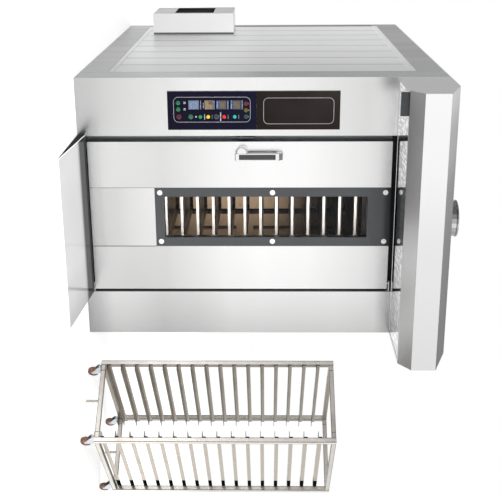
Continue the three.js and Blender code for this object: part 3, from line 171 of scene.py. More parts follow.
class Finish(Graph):
    """A Principled material whose patterns are read from Object coordinates."""

    def __init__(self, name, base, roughness, metallic=0.0, **sockets):
        self.material = bpy.data.materials.new(name)
        self.material.use_nodes = True
        super().__init__(self.material.node_tree)
        self.shader = self.tree.nodes["Principled BSDF"]
        self.base = (*base, 1.0)
        self.shader.inputs["Base Color"].default_value = self.base
        self.shader.inputs["Roughness"].default_value = roughness
        self.shader.inputs["Metallic"].default_value = metallic
        for socket, value in sockets.items():
            self.shader.inputs[socket.replace("_", " ")].default_value = value
        self.last_bump = None
        self.coordinates = self.node("TexCoord").outputs["Object"]

    def mapped(self, stretch=(1, 1, 1), turn=0.0, shift=(0, 0, 0)):
        mapping = self.node("Mapping")
        mapping.inputs["Scale"].default_value = stretch
        mapping.inputs["Rotation"].default_value = (0, 0, turn)
        mapping.inputs["Location"].default_value = shift
        self.link(self.coordinates, mapping.inputs["Vector"])
        return mapping.outputs["Vector"]

    def noise(self, scale, stretch=(1, 1, 1), detail=4.0):
        texture = self.node("TexNoise")
        texture.inputs["Scale"].default_value = scale
        texture.inputs["Detail"].default_value = detail
        self.link(self.mapped(stretch), texture.inputs["Vector"])
        return texture.outputs["Fac"]

    def cells(self, scale, stretch=(1, 1, 1)):
        texture = self.node("TexVoronoi")
        texture.inputs["Scale"].default_value = scale
        self.link(self.mapped(stretch), texture.inputs["Vector"])
        return texture.outputs["Distance"]

    def place(self, axis):
        """The coordinate of a point along one axis, in metres."""
        return self.split(self.coordinates, axis)

    def facing(self, axis):
        """How far a face looks along one of the piece's own axes, from -1 to 1."""
        return self.split(self.node("TexCoord").outputs["Normal"], axis)

    def ramp(self, value, stops, course="EASE"):
        """A grey that changes along (place, tone) stops in the value's own units."""
        low, high = stops[0][0], stops[-1][0]
        node = self.node("ValToRGB")
        node.color_ramp.interpolation = course
        elements = node.color_ramp.elements
        while len(elements) < len(stops):
            elements.new(0.5)
        for element, (place, tone) in zip(elements, stops):
            element.position = (place - low) / (high - low)
            element.color = (tone, tone, tone, 1.0)
        self.link(self.spread(value, low, high), node.inputs["Fac"])
        return node.outputs["Color"]

    def above(self, value, limit, softness=0.0001):
        return self.spread(value, limit - softness, limit + softness)

    def between(self, value, low, high, softness=0.0001):
        return self.combine("SUBTRACT", self.above(value, low, softness), self.above(value, high, softness))

    def mixed(self, factor, under, over, how="MIX"):
        """Two colours or patterns mixed; a tuple is a plain colour."""
        mix = self.node("Mix")
        mix.data_type = "RGBA"
        mix.blend_type = how
        for paint, socket in ((under, mix.inputs[6]), (over, mix.inputs[7])):
            if isinstance(paint, tuple):
                socket.default_value = (*paint[:3], 1.0)
            else:
                self.link(paint, socket)
        self.feed(mix.inputs[0], factor)
        return mix.outputs[2]

    def blend(self, factor, paint, how):
        """Works another colour or a grey pattern into the base colour."""
        socket = self.shader.inputs["Base Color"]
        under = socket.links[0].from_socket if socket.is_linked else self.base
        self.link(self.mixed(factor, under, paint, how), socket)

    def tint(self, factor, paint):
        self.blend(factor, paint, "MIX")

    def stain_or_shade(self, pattern, low, high, share, paint):
        """Tints where a pattern is over low, and by the full share from high on: stains, and in places
        painted shade.
        """
        self.tint(self.spread(pattern, low, high, 0.0, share), paint)

    def shade(self, pattern):
        self.blend(1.0, pattern, "MULTIPLY")

    def rough(self, pattern, low, high, least, most, second=None):
        """Roughness that follows a pattern; a second pattern's spread is added to it."""
        value = self.spread(pattern, low, high, least, most)
        if second:
            value = self.combine("ADD", value, self.spread(*second))
        self.link(value, self.shader.inputs["Roughness"])

    def dull(self, share):
        """Turns a share of the metal into plain matt colour, which doesn't mirror the room."""
        for socket in ("Metallic", "Specular IOR Level"):
            full = self.shader.inputs[socket].default_value
            self.link(self.spread(share, 0.0, 1.0, full, 0.0), self.shader.inputs[socket])

    def bump(self, value, strength, distance=0.001):
        node = self.node("Bump")
        node.inputs["Strength"].default_value = strength
        node.inputs["Distance"].default_value = distance
        self.link(value, node.inputs["Height"])
        if self.last_bump:
            self.link(self.last_bump, node.inputs["Normal"])
        self.last_bump = node.outputs["Normal"]
        self.link(self.last_bump, self.shader.inputs["Normal"])


def share_of(base, share):
    return tuple(channel * share for channel in base)


def lighter(base, times):
    return tuple(min(1.0, times * channel) for channel in base)


def brushed(name, base, roughness, grain="Z", streak=0.05, wear=0.05, relief=0.04):
    """Sheet with a fine grain along one axis, soft cloudy tones and faint handling marks."""
    finish = Finish(name, base, roughness, 1.0)
    along = {"X": (1.2, 160, 160), "Y": (160, 1.2, 160), "Z": (160, 160, 1.2)}[grain]
    grain_lines = finish.noise(3.0, along, 6.0)
    clouds = finish.noise(0.9, (1, 1, 0.5), 2.0)
    finish.stain_or_shade(grain_lines, 0.35, 0.75, streak, share_of(base, 0.5))
    finish.stain_or_shade(clouds, 0.35, 0.75, wear, share_of(base, 0.6))
    finish.rough(clouds, 0.3, 0.8, roughness - 0.03, roughness + 0.04, (grain_lines, 0.3, 0.7, -0.02, 0.03))
    finish.bump(grain_lines, relief, 0.0003)
    return finish


def brushed_steel(name, base, roughness, grain="Z"):
    return brushed(name, base, roughness, grain).material


# Painted reflection and shade on the four sheets of the front, for how they mirror the room, from the floor
# up: (height, tone).
LEFT_COLUMN_TONES = ((0.0, 0.50), (0.10, 0.48), (0.35, 0.55), (0.60, 0.68), (0.85, 0.86), (1.2, 0.94),
                     (1.45, 0.92), (1.88, 0.78), (2.08, 0.86))
DOOR_TONES = ((0.0, 0.54), (0.10, 0.56), (0.30, 0.54), (0.55, 0.59), (0.72, 0.71), (0.95, 0.89),
              (1.2, 0.985), (1.5, 0.985), (1.88, 0.835), (1.96, 0.77), (2.06, 0.56))
LOWER_PANEL_TONES = ((0.05, 0.58), (0.13, 0.50), (0.24, 0.50), (0.36, 0.57), (0.50, 0.66))
RIGHT_COLUMN_TONES = ((0.0, 0.46), (0.08, 0.52), (0.18, 0.66), (0.28, 0.66), (0.52, 0.63), (0.75, 0.75),
                      (1.0, 0.96), (1.2, 1.0), (1.7, 1.0), (1.97, 0.93), (2.06, 0.62))
# The same painted reflection and shade from left to right.
FRONT_WIDTH_TONES = ((-0.885, 0.94), (-0.48, 0.95), (-0.46, 1.0), (0.30, 1.0), (0.56, 0.95), (0.575, 0.86),
                     (0.86, 0.66), (0.885, 0.63))
INTO_GAP = 0.01             # from the door's skin to a line within the gap beside it
# Sides of the lower panel: which edge of the window frame, half width and darkness of the seam.
PANEL_SEAMS = ((0, 0.0016, 0.45), (1, 0.0028, 0.85))


def front_steel():
    """Painted reflection and shade: bright at the height of the eye, greyer to the floor, to the hood and to
    the right.
    """
    finish = brushed("front steel", tuple(colours().front), 0.22, streak=0.015, wear=0.03, relief=0.012)
    height = finish.place("Z")
    across = finish.place("X")
    door_left, door_right = (corner.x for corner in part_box("door_skin"))
    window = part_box("window_frame")
    left, door, panel, right = (
        finish.ramp(height, stops, "LINEAR")
        for stops in (LEFT_COLUMN_TONES, DOOR_TONES, LOWER_PANEL_TONES, RIGHT_COLUMN_TONES)
    )
    below_window = finish.between(height, -0.1, window[0].z)
    on_panel = finish.times(finish.between(across, window[0].x, window[1].x), below_window)
    tones = finish.mixed(on_panel, door, panel)
    tones = finish.mixed(finish.above(across, door_left - INTO_GAP), left, tones)
    tones = finish.mixed(finish.above(across, door_right + INTO_GAP), tones, right)
    finish.shade(tones)
    finish.shade(finish.ramp(across, FRONT_WIDTH_TONES, "LINEAR"))
    # painted shade low on the door, right of the window
    low = finish.times(finish.spread(height, 0.6, 0.35), finish.spread(height, 0.10, 0.20))
    low_right = finish.times(finish.between(across, window[1].x, door_right + INTO_GAP), low)
    finish.tint(finish.times(low_right, 0.06), (0.1, 0.1, 0.1))
    # painted shade on faces that look to the left, such as the columns' flanks
    flank_shade = finish.spread(finish.facing("X"), -0.5, -0.9)
    finish.tint(flank_shade, (0.17, 0.18, 0.19))
    finish.dull(finish.times(flank_shade, 0.70))
    for edge, half, darkness in PANEL_SEAMS:
        seam = finish.between(across, window[edge].x - half, window[edge].x + half)
        finish.tint(finish.times(finish.times(seam, below_window), darkness), (0.08, 0.08, 0.08))
    return finish.material


# Distances from the oven's middle plane that part the faces of the side cladding.
BORDER_FACE = 0.8832
GROOVE_FLOOR = 0.8795
# Painted reflection and shade on the side cladding, by height and from front to back: (place, tone).
SIDE_HEIGHT_TONES = ((0.0, 0.66), (0.5, 0.67), (1.0, 0.83), (1.5, 0.95), (2.0, 1.0), (2.4, 1.0))
SIDE_DEPTH_TONES = ((-1.43, 0.55), (-1.1, 0.66), (-0.5, 0.80), (0.2, 0.90), (1.43, 1.0))


def side_steel():
    """Cladding with painted shade: its border greyer than its strips, its front border dark, and painted
    shadow in the grooves between the strips.
    """
    base = tuple(colours().side)
    finish = brushed("side steel", base, 0.32, streak=0.05, wear=0.06, relief=0.02)
    depth = finish.absolute(finish.place("X"))
    along = finish.place("Y")
    finish.shade(finish.ramp(finish.place("Z"), SIDE_HEIGHT_TONES))
    finish.shade(finish.ramp(along, SIDE_DEPTH_TONES))
    # painted shade on the border
    finish.tint(finish.above(depth, BORDER_FACE), share_of(base, 0.28))
    # painted shade on the front border, and painted shadow in the grooves
    front_border = finish.spread(along, -1.30, -1.34)
    groove_walls = finish.spread(finish.absolute(finish.facing("Y")), 0.5, 0.8)
    grooves = finish.either(groove_walls, finish.inverse(finish.above(depth, GROOVE_FLOOR)))
    finish.tint(front_border, (0.20, 0.21, 0.22))
    finish.tint(grooves, (0.05, 0.053, 0.056))
    finish.dull(finish.either(finish.times(front_border, 0.70), grooves))
    bands = finish.noise(1.9, (0, 2.6, 0.0), 1.0)
    finish.stain_or_shade(bands, 0.40, 0.60, 0.10, share_of(base, 0.75))
    return finish.material


# Painted reflection across the hood's front, and painted shade on its upward slope: (place across, tone).
HOOD_TONES = ((-0.885, 1.0), (-0.5, 0.97), (0.2, 0.85), (0.885, 0.79))
HOOD_SLOPE_TONES = ((-0.885, 0.42), (-0.6, 0.25), (-0.2, 0.115), (0.3, 0.07), (0.885, 0.045))


def hood_steel():
    """Painted reflection and shade: pale on its front, dark on its upward slope and grey below and at the
    ends.
    """
    base = tuple(colours().hood)
    finish = brushed("hood steel", base, 0.24, "X", 0.03, 0.04, 0.02)
    across = finish.place("X")
    up = finish.facing("Z")
    finish.shade(finish.ramp(across, HOOD_TONES))
    slope = finish.above(up, 0.6, 0.1)
    finish.tint(slope, finish.ramp(across, HOOD_SLOPE_TONES))
    finish.dull(finish.times(slope, 0.86))
    # painted shade on faces that look down, and at the ends
    below = finish.times(finish.spread(up, -0.2, -0.5), finish.spread(across, -0.9, 0.5, 0.88, 0.55))
    finish.tint(below, share_of(base, 0.22))
    ends = finish.absolute(finish.facing("X"))
    finish.stain_or_shade(ends, 0.6, 0.8, 0.78, share_of(base, 0.25))
    return finish.material


def flue_steel():
    """A rolled collar with a painted reflection of the room in upright bands."""
    base = (0.76, 0.76, 0.77)
    finish = brushed("flue steel", base, 0.2)
    # painted reflection, by the way each face looks: (facing, tone)
    bands = ((-1.0, 0.16), (-0.82, 0.24), (-0.72, 0.55), (-0.6, 0.20), (-0.25, 0.34), (0.05, 1.0),
             (0.2, 0.85), (0.5, 0.42), (0.8, 0.55), (1.0, 0.72))
    finish.shade(finish.ramp(finish.facing("X"), bands))
    return finish.material


def polished_steel(name, base, roughness):
    """Plated or polished metal with smears and fine scratches."""
    finish = Finish(name, base, roughness, 1.0)
    smears = finish.noise(9.0, detail=5.0)
    scratches = finish.noise(4.0, (6, 180, 180), 5.0)
    finish.stain_or_shade(smears, 0.45, 0.8, 0.12, share_of(base, 0.6))
    finish.rough(smears, 0.35, 0.8, roughness, roughness + 0.08, (scratches, 0.5, 0.75, 0.0, 0.06))
    finish.bump(scratches, 0.04, 0.0003)
    return finish.material


def embossed_steel():
    """The hood's underside: bright sheet pressed in small facets that lean to the front and mirror it, with
    painted shade round each facet and towards the right.
    """
    base = (0.90, 0.905, 0.91)
    finish = Finish("embossed steel", base, 0.05, 1.0)
    scales = finish.cells(62.0, (1.0, 0.16, 1.0))
    # painted shade round the middle of each facet, and painted shade towards the right
    finish.stain_or_shade(scales, 0.34, 0.52, 0.80, share_of(base, 0.36))
    finish.shade(finish.ramp(finish.place("X"), ((-0.885, 1.0), (0.2, 0.98), (0.5, 0.90), (0.885, 0.80))))
    finish.rough(scales, 0.3, 0.7, 0.04, 0.10)
    finish.bump(finish.place("Y"), 1.0, sizes().facet_lean)
    finish.bump(scales, 0.02, 0.0004)
    return finish.material


SILL_SHADE_RUN = (-1.645, -1.560)        # from no painted shade to full painted shade on the tread, towards the sill


def ramp_steel():
    """Bright tread sheet with a painted reflection across it, painted shade where it meets the sill, a
    painted highlight on the folded edge and painted shade on the flank.
    """
    base = (0.98, 0.98, 0.98)
    finish = Finish("ramp steel", base, 0.12, 0.52)
    across = finish.place("X")
    smears = finish.noise(7.0, (1, 0.4, 1), 5.0)
    scuffs = finish.noise(5.0, (60, 4, 60))
    finish.stain_or_shade(smears, 0.45, 0.8, 0.10, share_of(base, 0.6))
    # painted reflection, darker to the right
    finish.shade(finish.ramp(across, ((-0.52, 1.0), (0.2, 1.0), (0.4, 0.90), (0.59, 0.76))))
    # painted shade where the tread meets the sill
    sill_shade = finish.spread(finish.place("Y"), *SILL_SHADE_RUN, 0.0, 1.0, True)
    finish.tint(finish.times(sill_shade, 0.96), (0.016, 0.018, 0.020))
    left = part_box("entry_ramp")[0].x
    # painted highlight on the folded left edge, and painted shade on the flank below it
    fold_highlight = finish.times(finish.spread(across, left + 0.008, left + 0.006),
                        finish.spread(finish.facing("Z"), 0.5, 0.7))
    flank_shade = finish.spread(finish.facing("X"), -0.5, -0.8)
    finish.tint(fold_highlight, (0.96, 0.96, 0.96))
    finish.tint(flank_shade, (0.04, 0.042, 0.045))
    finish.dull(finish.either(finish.times(sill_shade, 0.80), finish.either(flank_shade, fold_highlight)))
    finish.rough(smears, 0.35, 0.8, 0.10, 0.18, (scuffs, 0.5, 0.75, 0.0, 0.05))
    finish.bump(scuffs, 0.03, 0.0003)
    return finish.material


# Radii round the handle's axis that part its boss, the shadow at its rim and the plate behind it.
BOSS_RADIUS = 0.013
BOSS_SHADOW_RADIUS = 0.0235
PLATE_RADIUS = 0.026
PLATE_FRONT = -1.452        # points with a greater Y are on the boss or the plate, not on the lever
LEVER_DEPTH = (-1.448, -1.476)      # between these the painted shade on the flanks sets in


def handle_chrome():
    """Chrome with painted shade on its flanks and ends beside the bright front and a painted shadow round
    the boss, on a pale round plate.
    """
    base = (0.90, 0.90, 0.905)
    finish = Finish("handle chrome", base, 0.07, 1.0)
    smears = finish.noise(30.0)
    depth = finish.place("Y")
    # painted shade on the flanks and the ends
    flank_shade = finish.times(finish.spread(finish.facing("Y"), -0.75, -0.35),
                         finish.spread(depth, *LEVER_DEPTH))
    finish.tint(finish.times(flank_shade, 0.80), share_of(base, 0.10))
    ends = finish.spread(finish.absolute(finish.facing("Z")), 0.35, 0.9)
    finish.tint(finish.times(ends, 0.85), share_of(base, 0.07))
    middle = middle_of("handle_escutcheon")
    squares = []
    for axis, place in (("X", middle.x), ("Z", middle.z)):
        offset = finish.combine("SUBTRACT", finish.place(axis), place)
        squares.append(finish.times(offset, offset))
    radius = finish.combine("SQRT", finish.combine("ADD", *squares))
    at_plate = finish.above(depth, PLATE_FRONT)
    rim = finish.times(finish.between(radius, BOSS_RADIUS, BOSS_SHADOW_RADIUS, 0.002), at_plate)
    finish.tint(finish.times(rim, 0.85), share_of(base, 0.10))
    plate = finish.times(finish.above(radius, PLATE_RADIUS, 0.001), at_plate)
    finish.tint(plate, (0.62, 0.62, 0.62))
    finish.dull(plate)
    finish.rough(smears, 0.35, 0.8, 0.05, 0.16)
    return finish.material


def dark_steel(name, base, roughness=0.4, head=None):
    """Dark sheet with pale clouds, and with a shadow under its head where that height is given."""
    finish = Finish(name, base, roughness, 0.7)
    speckle = finish.noise(240.0, detail=3.0)
    clouds = finish.noise(2.0, (1, 1, 0.4))
    finish.stain_or_shade(clouds, 0.35, 0.75, 0.3, lighter(base, 1.6))
    if head is not None:
        shadow = finish.spread(finish.place("Z"), head - 0.06, head - 0.01, 0.0, 0.8, True)
        finish.tint(shadow, share_of(base, 0.15))
    finish.rough(speckle, 0.3, 0.7, roughness - 0.06, roughness + 0.08)
    finish.bump(speckle, 0.08, 0.0003)
    return finish.material


RAIL_WIDTH = 0.0422         # from a rail's lip to its back
LIP_WIDTH = 0.0040
RAIL_REACH = 0.4803         # from a rack's middle to the near-black ends of its rails
NEAR_BLACK_STRETCH = (0.330, 0.446)      # along the rails of one side
NEAR_BLACK = (0.004, 0.004, 0.004)
PIN_REACH = 0.020           # the pins under the lowest crossbar lie this close to the middle plane


def tube_marks(finish, post, across, reach, is_rail):
    """Painted shade on the posts' corners and the crossbars' edges, paler crossbars and pins; gives the
    rails without the crossbars.
    """
    half, place, bars = post
    from_x = finish.distance(across, place[0])
    from_y = finish.distance(reach, place[1])
    on_post = finish.spread(finish.either(from_x, from_y), half + 0.002, half + 0.001)
    corner = finish.spread(finish.combine("MINIMUM", from_x, from_y), half - 0.0055, half - 0.0030)
    # painted shade on the posts' corners
    finish.tint(finish.times(finish.times(corner, on_post), 0.90), (0.15, 0.11, 0.075))
    height = finish.place("Z")
    from_z = finish.combine("MINIMUM", *(finish.distance(height, bar) for bar in bars))
    by_bar = finish.spread(from_z, half + 0.001, half)
    on_bar = finish.times(finish.inverse(on_post), by_bar)
    finish.tint(finish.times(on_bar, 0.75), (0.60, 0.57, 0.53))
    under_bar = bars[0] - half
    pins = finish.times(finish.spread(across, PIN_REACH + 0.002, PIN_REACH),
                        finish.spread(height, under_bar, under_bar - 0.001))
    finish.tint(pins, (0.42, 0.39, 0.35))
    # painted shade along the crossbars' edges
    edges = finish.times(on_bar, finish.above(from_z, half - 0.0050, 0.0005))
    finish.tint(finish.times(edges, 0.85), (0.16, 0.125, 0.09))
    crossbar = finish.times(by_bar, finish.above(reach, place[1] - half))
    return finish.times(is_rail, finish.inverse(crossbar))


def rack_steel(name, base, rail, origin, turn, rail_edge, post, roughness):
    """Stainless tube with browner rails, the haze of many bakes, painted light and shade on the rails, and
    near-black rail ends.

    Places are read from the rack's own middle and turn. The backs of the rails are rail_edge from there, and
    post is None or holds the posts' half width, their place and the heights of the crossbars.
    """
    finish = Finish(name, base, roughness, 0.9)
    haze = finish.noise(5.0, detail=6.0)
    spots = finish.noise(52.0, (1, 1, 0.5))
    swing = Matrix.Rotation(-turn, 3, "Z")
    local = finish.mapped((1, 1, 1), -turn, -(swing @ Vector(origin)))
    side = finish.split(local, "X")
    along = finish.split(local, "Y")
    across = finish.absolute(side)
    reach = finish.absolute(along)
    lip_edge = rail_edge - RAIL_WIDTH
    is_rail = finish.between(across, lip_edge, rail_edge)
    finish.stain_or_shade(haze, 0.50, 0.74, 0.30, (0.45, 0.36, 0.27))
    if post:
        is_rail = tube_marks(finish, post, across, reach, is_rail)
    finish.tint(is_rail, rail)
    # painted light on the rails of the side seen from outside, painted shadow on the lips and painted shade
    # on faces that look down
    seen_outside = finish.times(is_rail, finish.above(side, 0.0))
    finish.tint(finish.times(seen_outside, 0.55), lighter(rail, 2.0))
    finish.tint(finish.between(across, lip_edge, lip_edge + LIP_WIDTH), (0.05, 0.04, 0.03))
    finish.tint(finish.spread(finish.facing("Z"), -0.3, -0.8, 0.0, 0.8), share_of(rail, 0.25))
    finish.stain_or_shade(spots, 0.62, 0.76, 0.22, (0.20, 0.13, 0.08))
    # near-black at the rails' ends and along a stretch of one side
    stretch = finish.times(finish.between(along, *NEAR_BLACK_STRETCH), finish.above(side, 0.0))
    near_black = finish.times(is_rail, finish.either(finish.above(reach, RAIL_REACH), stretch))
    finish.tint(near_black, NEAR_BLACK)
    finish.dull(near_black)
    finish.rough(haze, 0.3, 0.8, roughness - 0.06, roughness + 0.18)
    finish.bump(spots, 0.04, 0.0003)
    return finish.material


DOOR_HEAD = 2.055           # height over which the door's gap is in the hood's shadow
DARKENING_RISE = (1.15, 1.6)    # heights between which the walls turn dark
GAP_DEPTH = (-1.328, -1.334)        # from the chamber's walls to the faces in the door's gap


def chamber_steel():
    """Grey in the door's gap with painted shade across it and under the hood, pale brown inside and darker
    towards the ceiling.
    """
    base = tuple(colours().chamber)
    finish = Finish("chamber steel", base, 0.45, 0.25)
    bake = finish.noise(3.0, (1, 1, 0.6), 6.0)
    spots = finish.noise(28.0)
    height = finish.place("Z")
    finish.tint(finish.spread(height, *DARKENING_RISE, 0.0, 0.93, True), (0.02, 0.016, 0.013))
    finish.stain_or_shade(bake, 0.35, 0.75, 0.30, (0.20, 0.13, 0.09))
    finish.stain_or_shade(spots, 0.62, 0.8, 0.4, (0.08, 0.055, 0.04))
    # painted shade in the door's gap: dark above the door's head and darker from left to right
    gap = finish.mixed(finish.above(height, DOOR_HEAD), (0.46, 0.49, 0.50), (0.03, 0.03, 0.03))
    gap_shade = finish.ramp(finish.place("X"), ((-0.495, 1.0), (-0.472, 0.40), (-0.452, 0.12)))
    in_gap = finish.spread(finish.place("Y"), *GAP_DEPTH)
    finish.tint(in_gap, finish.mixed(1.0, gap, gap_shade, "MULTIPLY"))
    finish.rough(bake, 0.3, 0.8, 0.36, 0.6)
    finish.bump(spots, 0.08, 0.0006)
    return finish.material


def strike_steel():
    """A strike plate as grey as the gap, with painted shade in two slots at its outer side and further in.
    """
    finish = Finish("strike steel", (0.09, 0.097, 0.10), 0.4, 0.6)
    speckle = finish.noise(240.0, detail=3.0)
    across = finish.place("X")
    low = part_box("strike_plate")[0]
    outer = finish.spread(across, low.x + 0.010, low.x + 0.007)
    inner = finish.spread(across, low.x + 0.014, low.x + 0.020)
    bridge = finish.between(finish.place("Z"), low.z + 0.022, low.z + 0.034, 0.001)
    slots = finish.times(outer, finish.inverse(bridge))
    # painted shade in the slots and further in
    finish.tint(finish.either(slots, inner), (0.012, 0.012, 0.013))
    finish.rough(speckle, 0.3, 0.7, 0.34, 0.48)
    finish.bump(speckle, 0.06, 0.0003)
    return finish.material


DOOR_TOP = (2.0, 2.059)     # heights of the lip at the door's top, which has a painted reflection
# Painted shade on the door's edges, from the skin inwards: (depth, tone).
DOOR_DEPTH_TONES = ((-1.425, 0.05), (-1.405, 0.10), (-1.385, 0.50), (-1.345, 1.0))


def door_edge_steel():
    """The door's edges, with painted shade: dark near the skin and lighter where they dip into the frame,
    and a painted reflection on the lip at the top.
    """
    finish = brushed("door edge steel", (0.30, 0.31, 0.31), 0.30)
    finish.shade(finish.ramp(finish.place("Y"), DOOR_DEPTH_TONES))
    # painted reflection on the lip's front, as bright as the skin
    lip = finish.times(finish.spread(finish.facing("Y"), -0.8, -0.95),
                       finish.between(finish.place("Z"), *DOOR_TOP))
    finish.tint(lip, (0.55, 0.55, 0.55))
    return finish.material


def tray_metal():
    """Bright aluminium rim with a little baked-on brown."""
    base = (0.78, 0.78, 0.78)
    finish = Finish("tray aluminium", base, 0.38, 0.35)
    baked = finish.noise(9.0, (1, 1, 3), 6.0)
    finish.stain_or_shade(baked, 0.52, 0.8, 0.6, (0.30, 0.24, 0.20))
    finish.rough(baked, 0.3, 0.8, 0.3, 0.5)
    finish.bump(baked, 0.05, 0.0004)
    return finish.material


def cast_iron(name, base):
    """Rough grey casting with dust on it."""
    finish = Finish(name, base, 0.6, 0.45)
    grain = finish.noise(160.0, detail=5.0)
    dust = finish.noise(6.0, detail=5.0)
    finish.stain_or_shade(dust, 0.4, 0.8, 0.35, lighter(base, 2.2))
    finish.rough(grain, 0.3, 0.7, 0.5, 0.72)
    finish.bump(grain, 0.35, 0.0008)
    return finish.material


def painted(name, base, roughness=0.4):
    """Sprayed paint with a light orange peel and a little dust."""
    finish = Finish(name, base, roughness)
    peel = finish.noise(130.0, detail=2.0)
    dust = finish.noise(3.0, detail=5.0)
    finish.stain_or_shade(dust, 0.45, 0.8, 0.10, share_of(base, 0.7))
    finish.rough(dust, 0.3, 0.8, roughness - 0.05, roughness + 0.1)
    finish.bump(peel, 0.06, 0.0005)
    return finish.material


def cover_paint():
    """White paint with painted shade: greyer on the cover's outer face and dark inside, and a painted shadow
    along the wall.
    """
    base = (0.95, 0.95, 0.945)
    finish = Finish("cover paint", base, 0.4)
    peel = finish.noise(130.0, detail=2.0)
    dust = finish.noise(3.0, detail=5.0)
    across = finish.place("X")
    finish.stain_or_shade(dust, 0.45, 0.8, 0.08, share_of(base, 0.7))
    # painted shade on the outer face
    finish.tint(finish.spread(finish.facing("X"), -0.5, -0.9, 0.0, 1.0), share_of(base, 0.46))
    low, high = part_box("burner_cover")
    # painted shadow of the cover on the wall, along its seam
    seam = finish.times(finish.spread(finish.facing("Y"), -0.5, -0.9), finish.above(across, high.x - 0.009))
    finish.tint(finish.times(seam, 0.85), (0.10, 0.10, 0.11))
    # painted shade inside the cover
    inside = finish.between(across, low.x + 0.0006, high.x)
    for axis, near, far in (("Y", low.y, high.y), ("Z", low.z, high.z)):
        inside = finish.times(inside, finish.between(finish.place(axis), near + 0.0008, far - 0.0008))
    finish.tint(inside, (0.05, 0.053, 0.057))
    finish.rough(dust, 0.3, 0.8, 0.36, 0.5)
    finish.bump(peel, 0.06, 0.0005)
    return finish.material


def end_cap_paint():
    """Dark on the face that looks to the front, with painted light on the rest: pale grey, so that the
    column mirrors it pale.
    """
    finish = Finish("end cap paint", (0.55, 0.56, 0.57), 0.6)
    peel = finish.noise(130.0, detail=2.0)
    # the front face dark; the pale grey of the rest is painted light
    finish.tint(finish.spread(finish.facing("Y"), -0.3, -0.6), (0.020, 0.022, 0.024))
    finish.rough(peel, 0.3, 0.7, 0.55, 0.75)
    finish.bump(peel, 0.08, 0.0005)
    return finish.material


def gloss_plate(name, base, highlight_tone, low, high):
    """Printed acrylic plate: nearly black, with a soft painted highlight broken by a cloud, stronger towards
    the top, and hairline wipes.
    """
    finish = Finish(name, base, 0.16, 0.0, Specular_IOR_Level=0.06)
    cloud = finish.noise(1.7, detail=3.0)
    wipes = finish.noise(5.0, (8, 60, 160), 5.0)
    # painted highlight, stronger towards the top
    highlight = finish.times(finish.spread(cloud, 0.35, 0.75, 0.2, 0.9),
                         finish.spread(finish.place("Z"), low, high, 0.25, 1.0))
    finish.tint(highlight, highlight_tone)
    finish.rough(wipes, 0.4, 0.75, 0.14, 0.26)
    finish.bump(wipes, 0.03, 0.0002)
    return finish.material


def moulded(name, base, roughness):
    """Moulded plastic with a fine texture and a little dust."""
    finish = Finish(name, base, roughness)
    texture = finish.noise(420.0, detail=2.0)
    dust = finish.noise(35.0)
    finish.stain_or_shade(dust, 0.5, 0.85, 0.18, tuple(0.6 * c + 0.04 for c in base))
    finish.rough(dust, 0.3, 0.8, roughness - 0.05, roughness + 0.1)
    finish.bump(texture, 0.08, 0.0002)
    return finish.material


def dim_screen():
    """A switched-off display window: brown with darker clouds and faint rows."""
    finish = Finish("dim screen", (0.11, 0.078, 0.05), 0.15)
    glow = finish.noise(26.0, detail=2.0)
    rows = finish.noise(9.0, (1, 1, 60), 1.0)
    finish.stain_or_shade(glow, 0.35, 0.7, 0.7, (0.05, 0.035, 0.03))
    finish.stain_or_shade(rows, 0.4, 0.7, 0.35, (0.17, 0.13, 0.09))
    finish.rough(glow, 0.3, 0.7, 0.1, 0.22)
    return finish.material


def printed_label(name, base):
    """A strip of print too small to read: a light colour broken up by dark."""
    finish = Finish(name, base, 0.35)
    marks = finish.noise(60.0, (6, 1, 1.6), 2.0)
    finish.stain_or_shade(marks, 0.44, 0.56, 0.85, share_of(base, 0.22))
    finish.bump(marks, 0.05, 0.0001)
    return finish.material


def seal_rubber():
    """Black rubber with a little flour on it."""
    finish = Finish("seal rubber", (0.018, 0.018, 0.019), 0.8)
    grain = finish.noise(200.0, detail=3.0)
    flour = finish.noise(14.0, detail=5.0)
    finish.stain_or_shade(flour, 0.5, 0.85, 0.3, (0.09, 0.085, 0.08))
    finish.bump(grain, 0.2, 0.0004)
    return finish.material


def window_glass():
    """Clear dark glass with an uneven film."""
    sockets = {"Alpha": 0.07, "IOR": 1.5, "Specular_IOR_Level": 0.04}
    finish = Finish("oven glass", (0.03, 0.032, 0.032), 0.03, **sockets)
    film = finish.noise(4.0, (1, 1, 0.4), 5.0)
    finish.rough(film, 0.35, 0.8, 0.02, 0.10)
    return finish.material


def wheel_tread():
    """Brown rubber, scuffed pale."""
    base = tuple(colours().tread)
    finish = Finish("wheel tread", base, 0.5)
    scuff = finish.noise(70.0, detail=5.0)
    finish.stain_or_shade(scuff, 0.45, 0.75, 0.30, (0.42, 0.27, 0.18))
    finish.rough(scuff, 0.3, 0.8, 0.4, 0.65)
    finish.bump(scuff, 0.15, 0.0005)
    return finish.material


def shared(name, make, *values):
    """A finish is made once and then shared by its pieces."""
    if name not in bpy.data.materials:
        if values:
            make(name, *values)
        else:
            make()
    return bpy.data.materials[name]


# ---------------------------------------------------------------------------------------------
# Modelling
# ---------------------------------------------------------------------------------------------

def middle_of(node):
    low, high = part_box(node)
    return (low + high) / 2


def clear_selection():
    bpy.ops.object.select_all(action="DESELECT")


def take(piece):
    clear_selection()
    piece.select_set(True)
    bpy.context.view_layer.objects.active = piece


def settle(piece):
    """Puts the place of a piece into its mesh, so that its object sits at the origin."""
    take(piece)
    bpy.ops.object.transform_apply(location=True, rotation=True, scale=True)


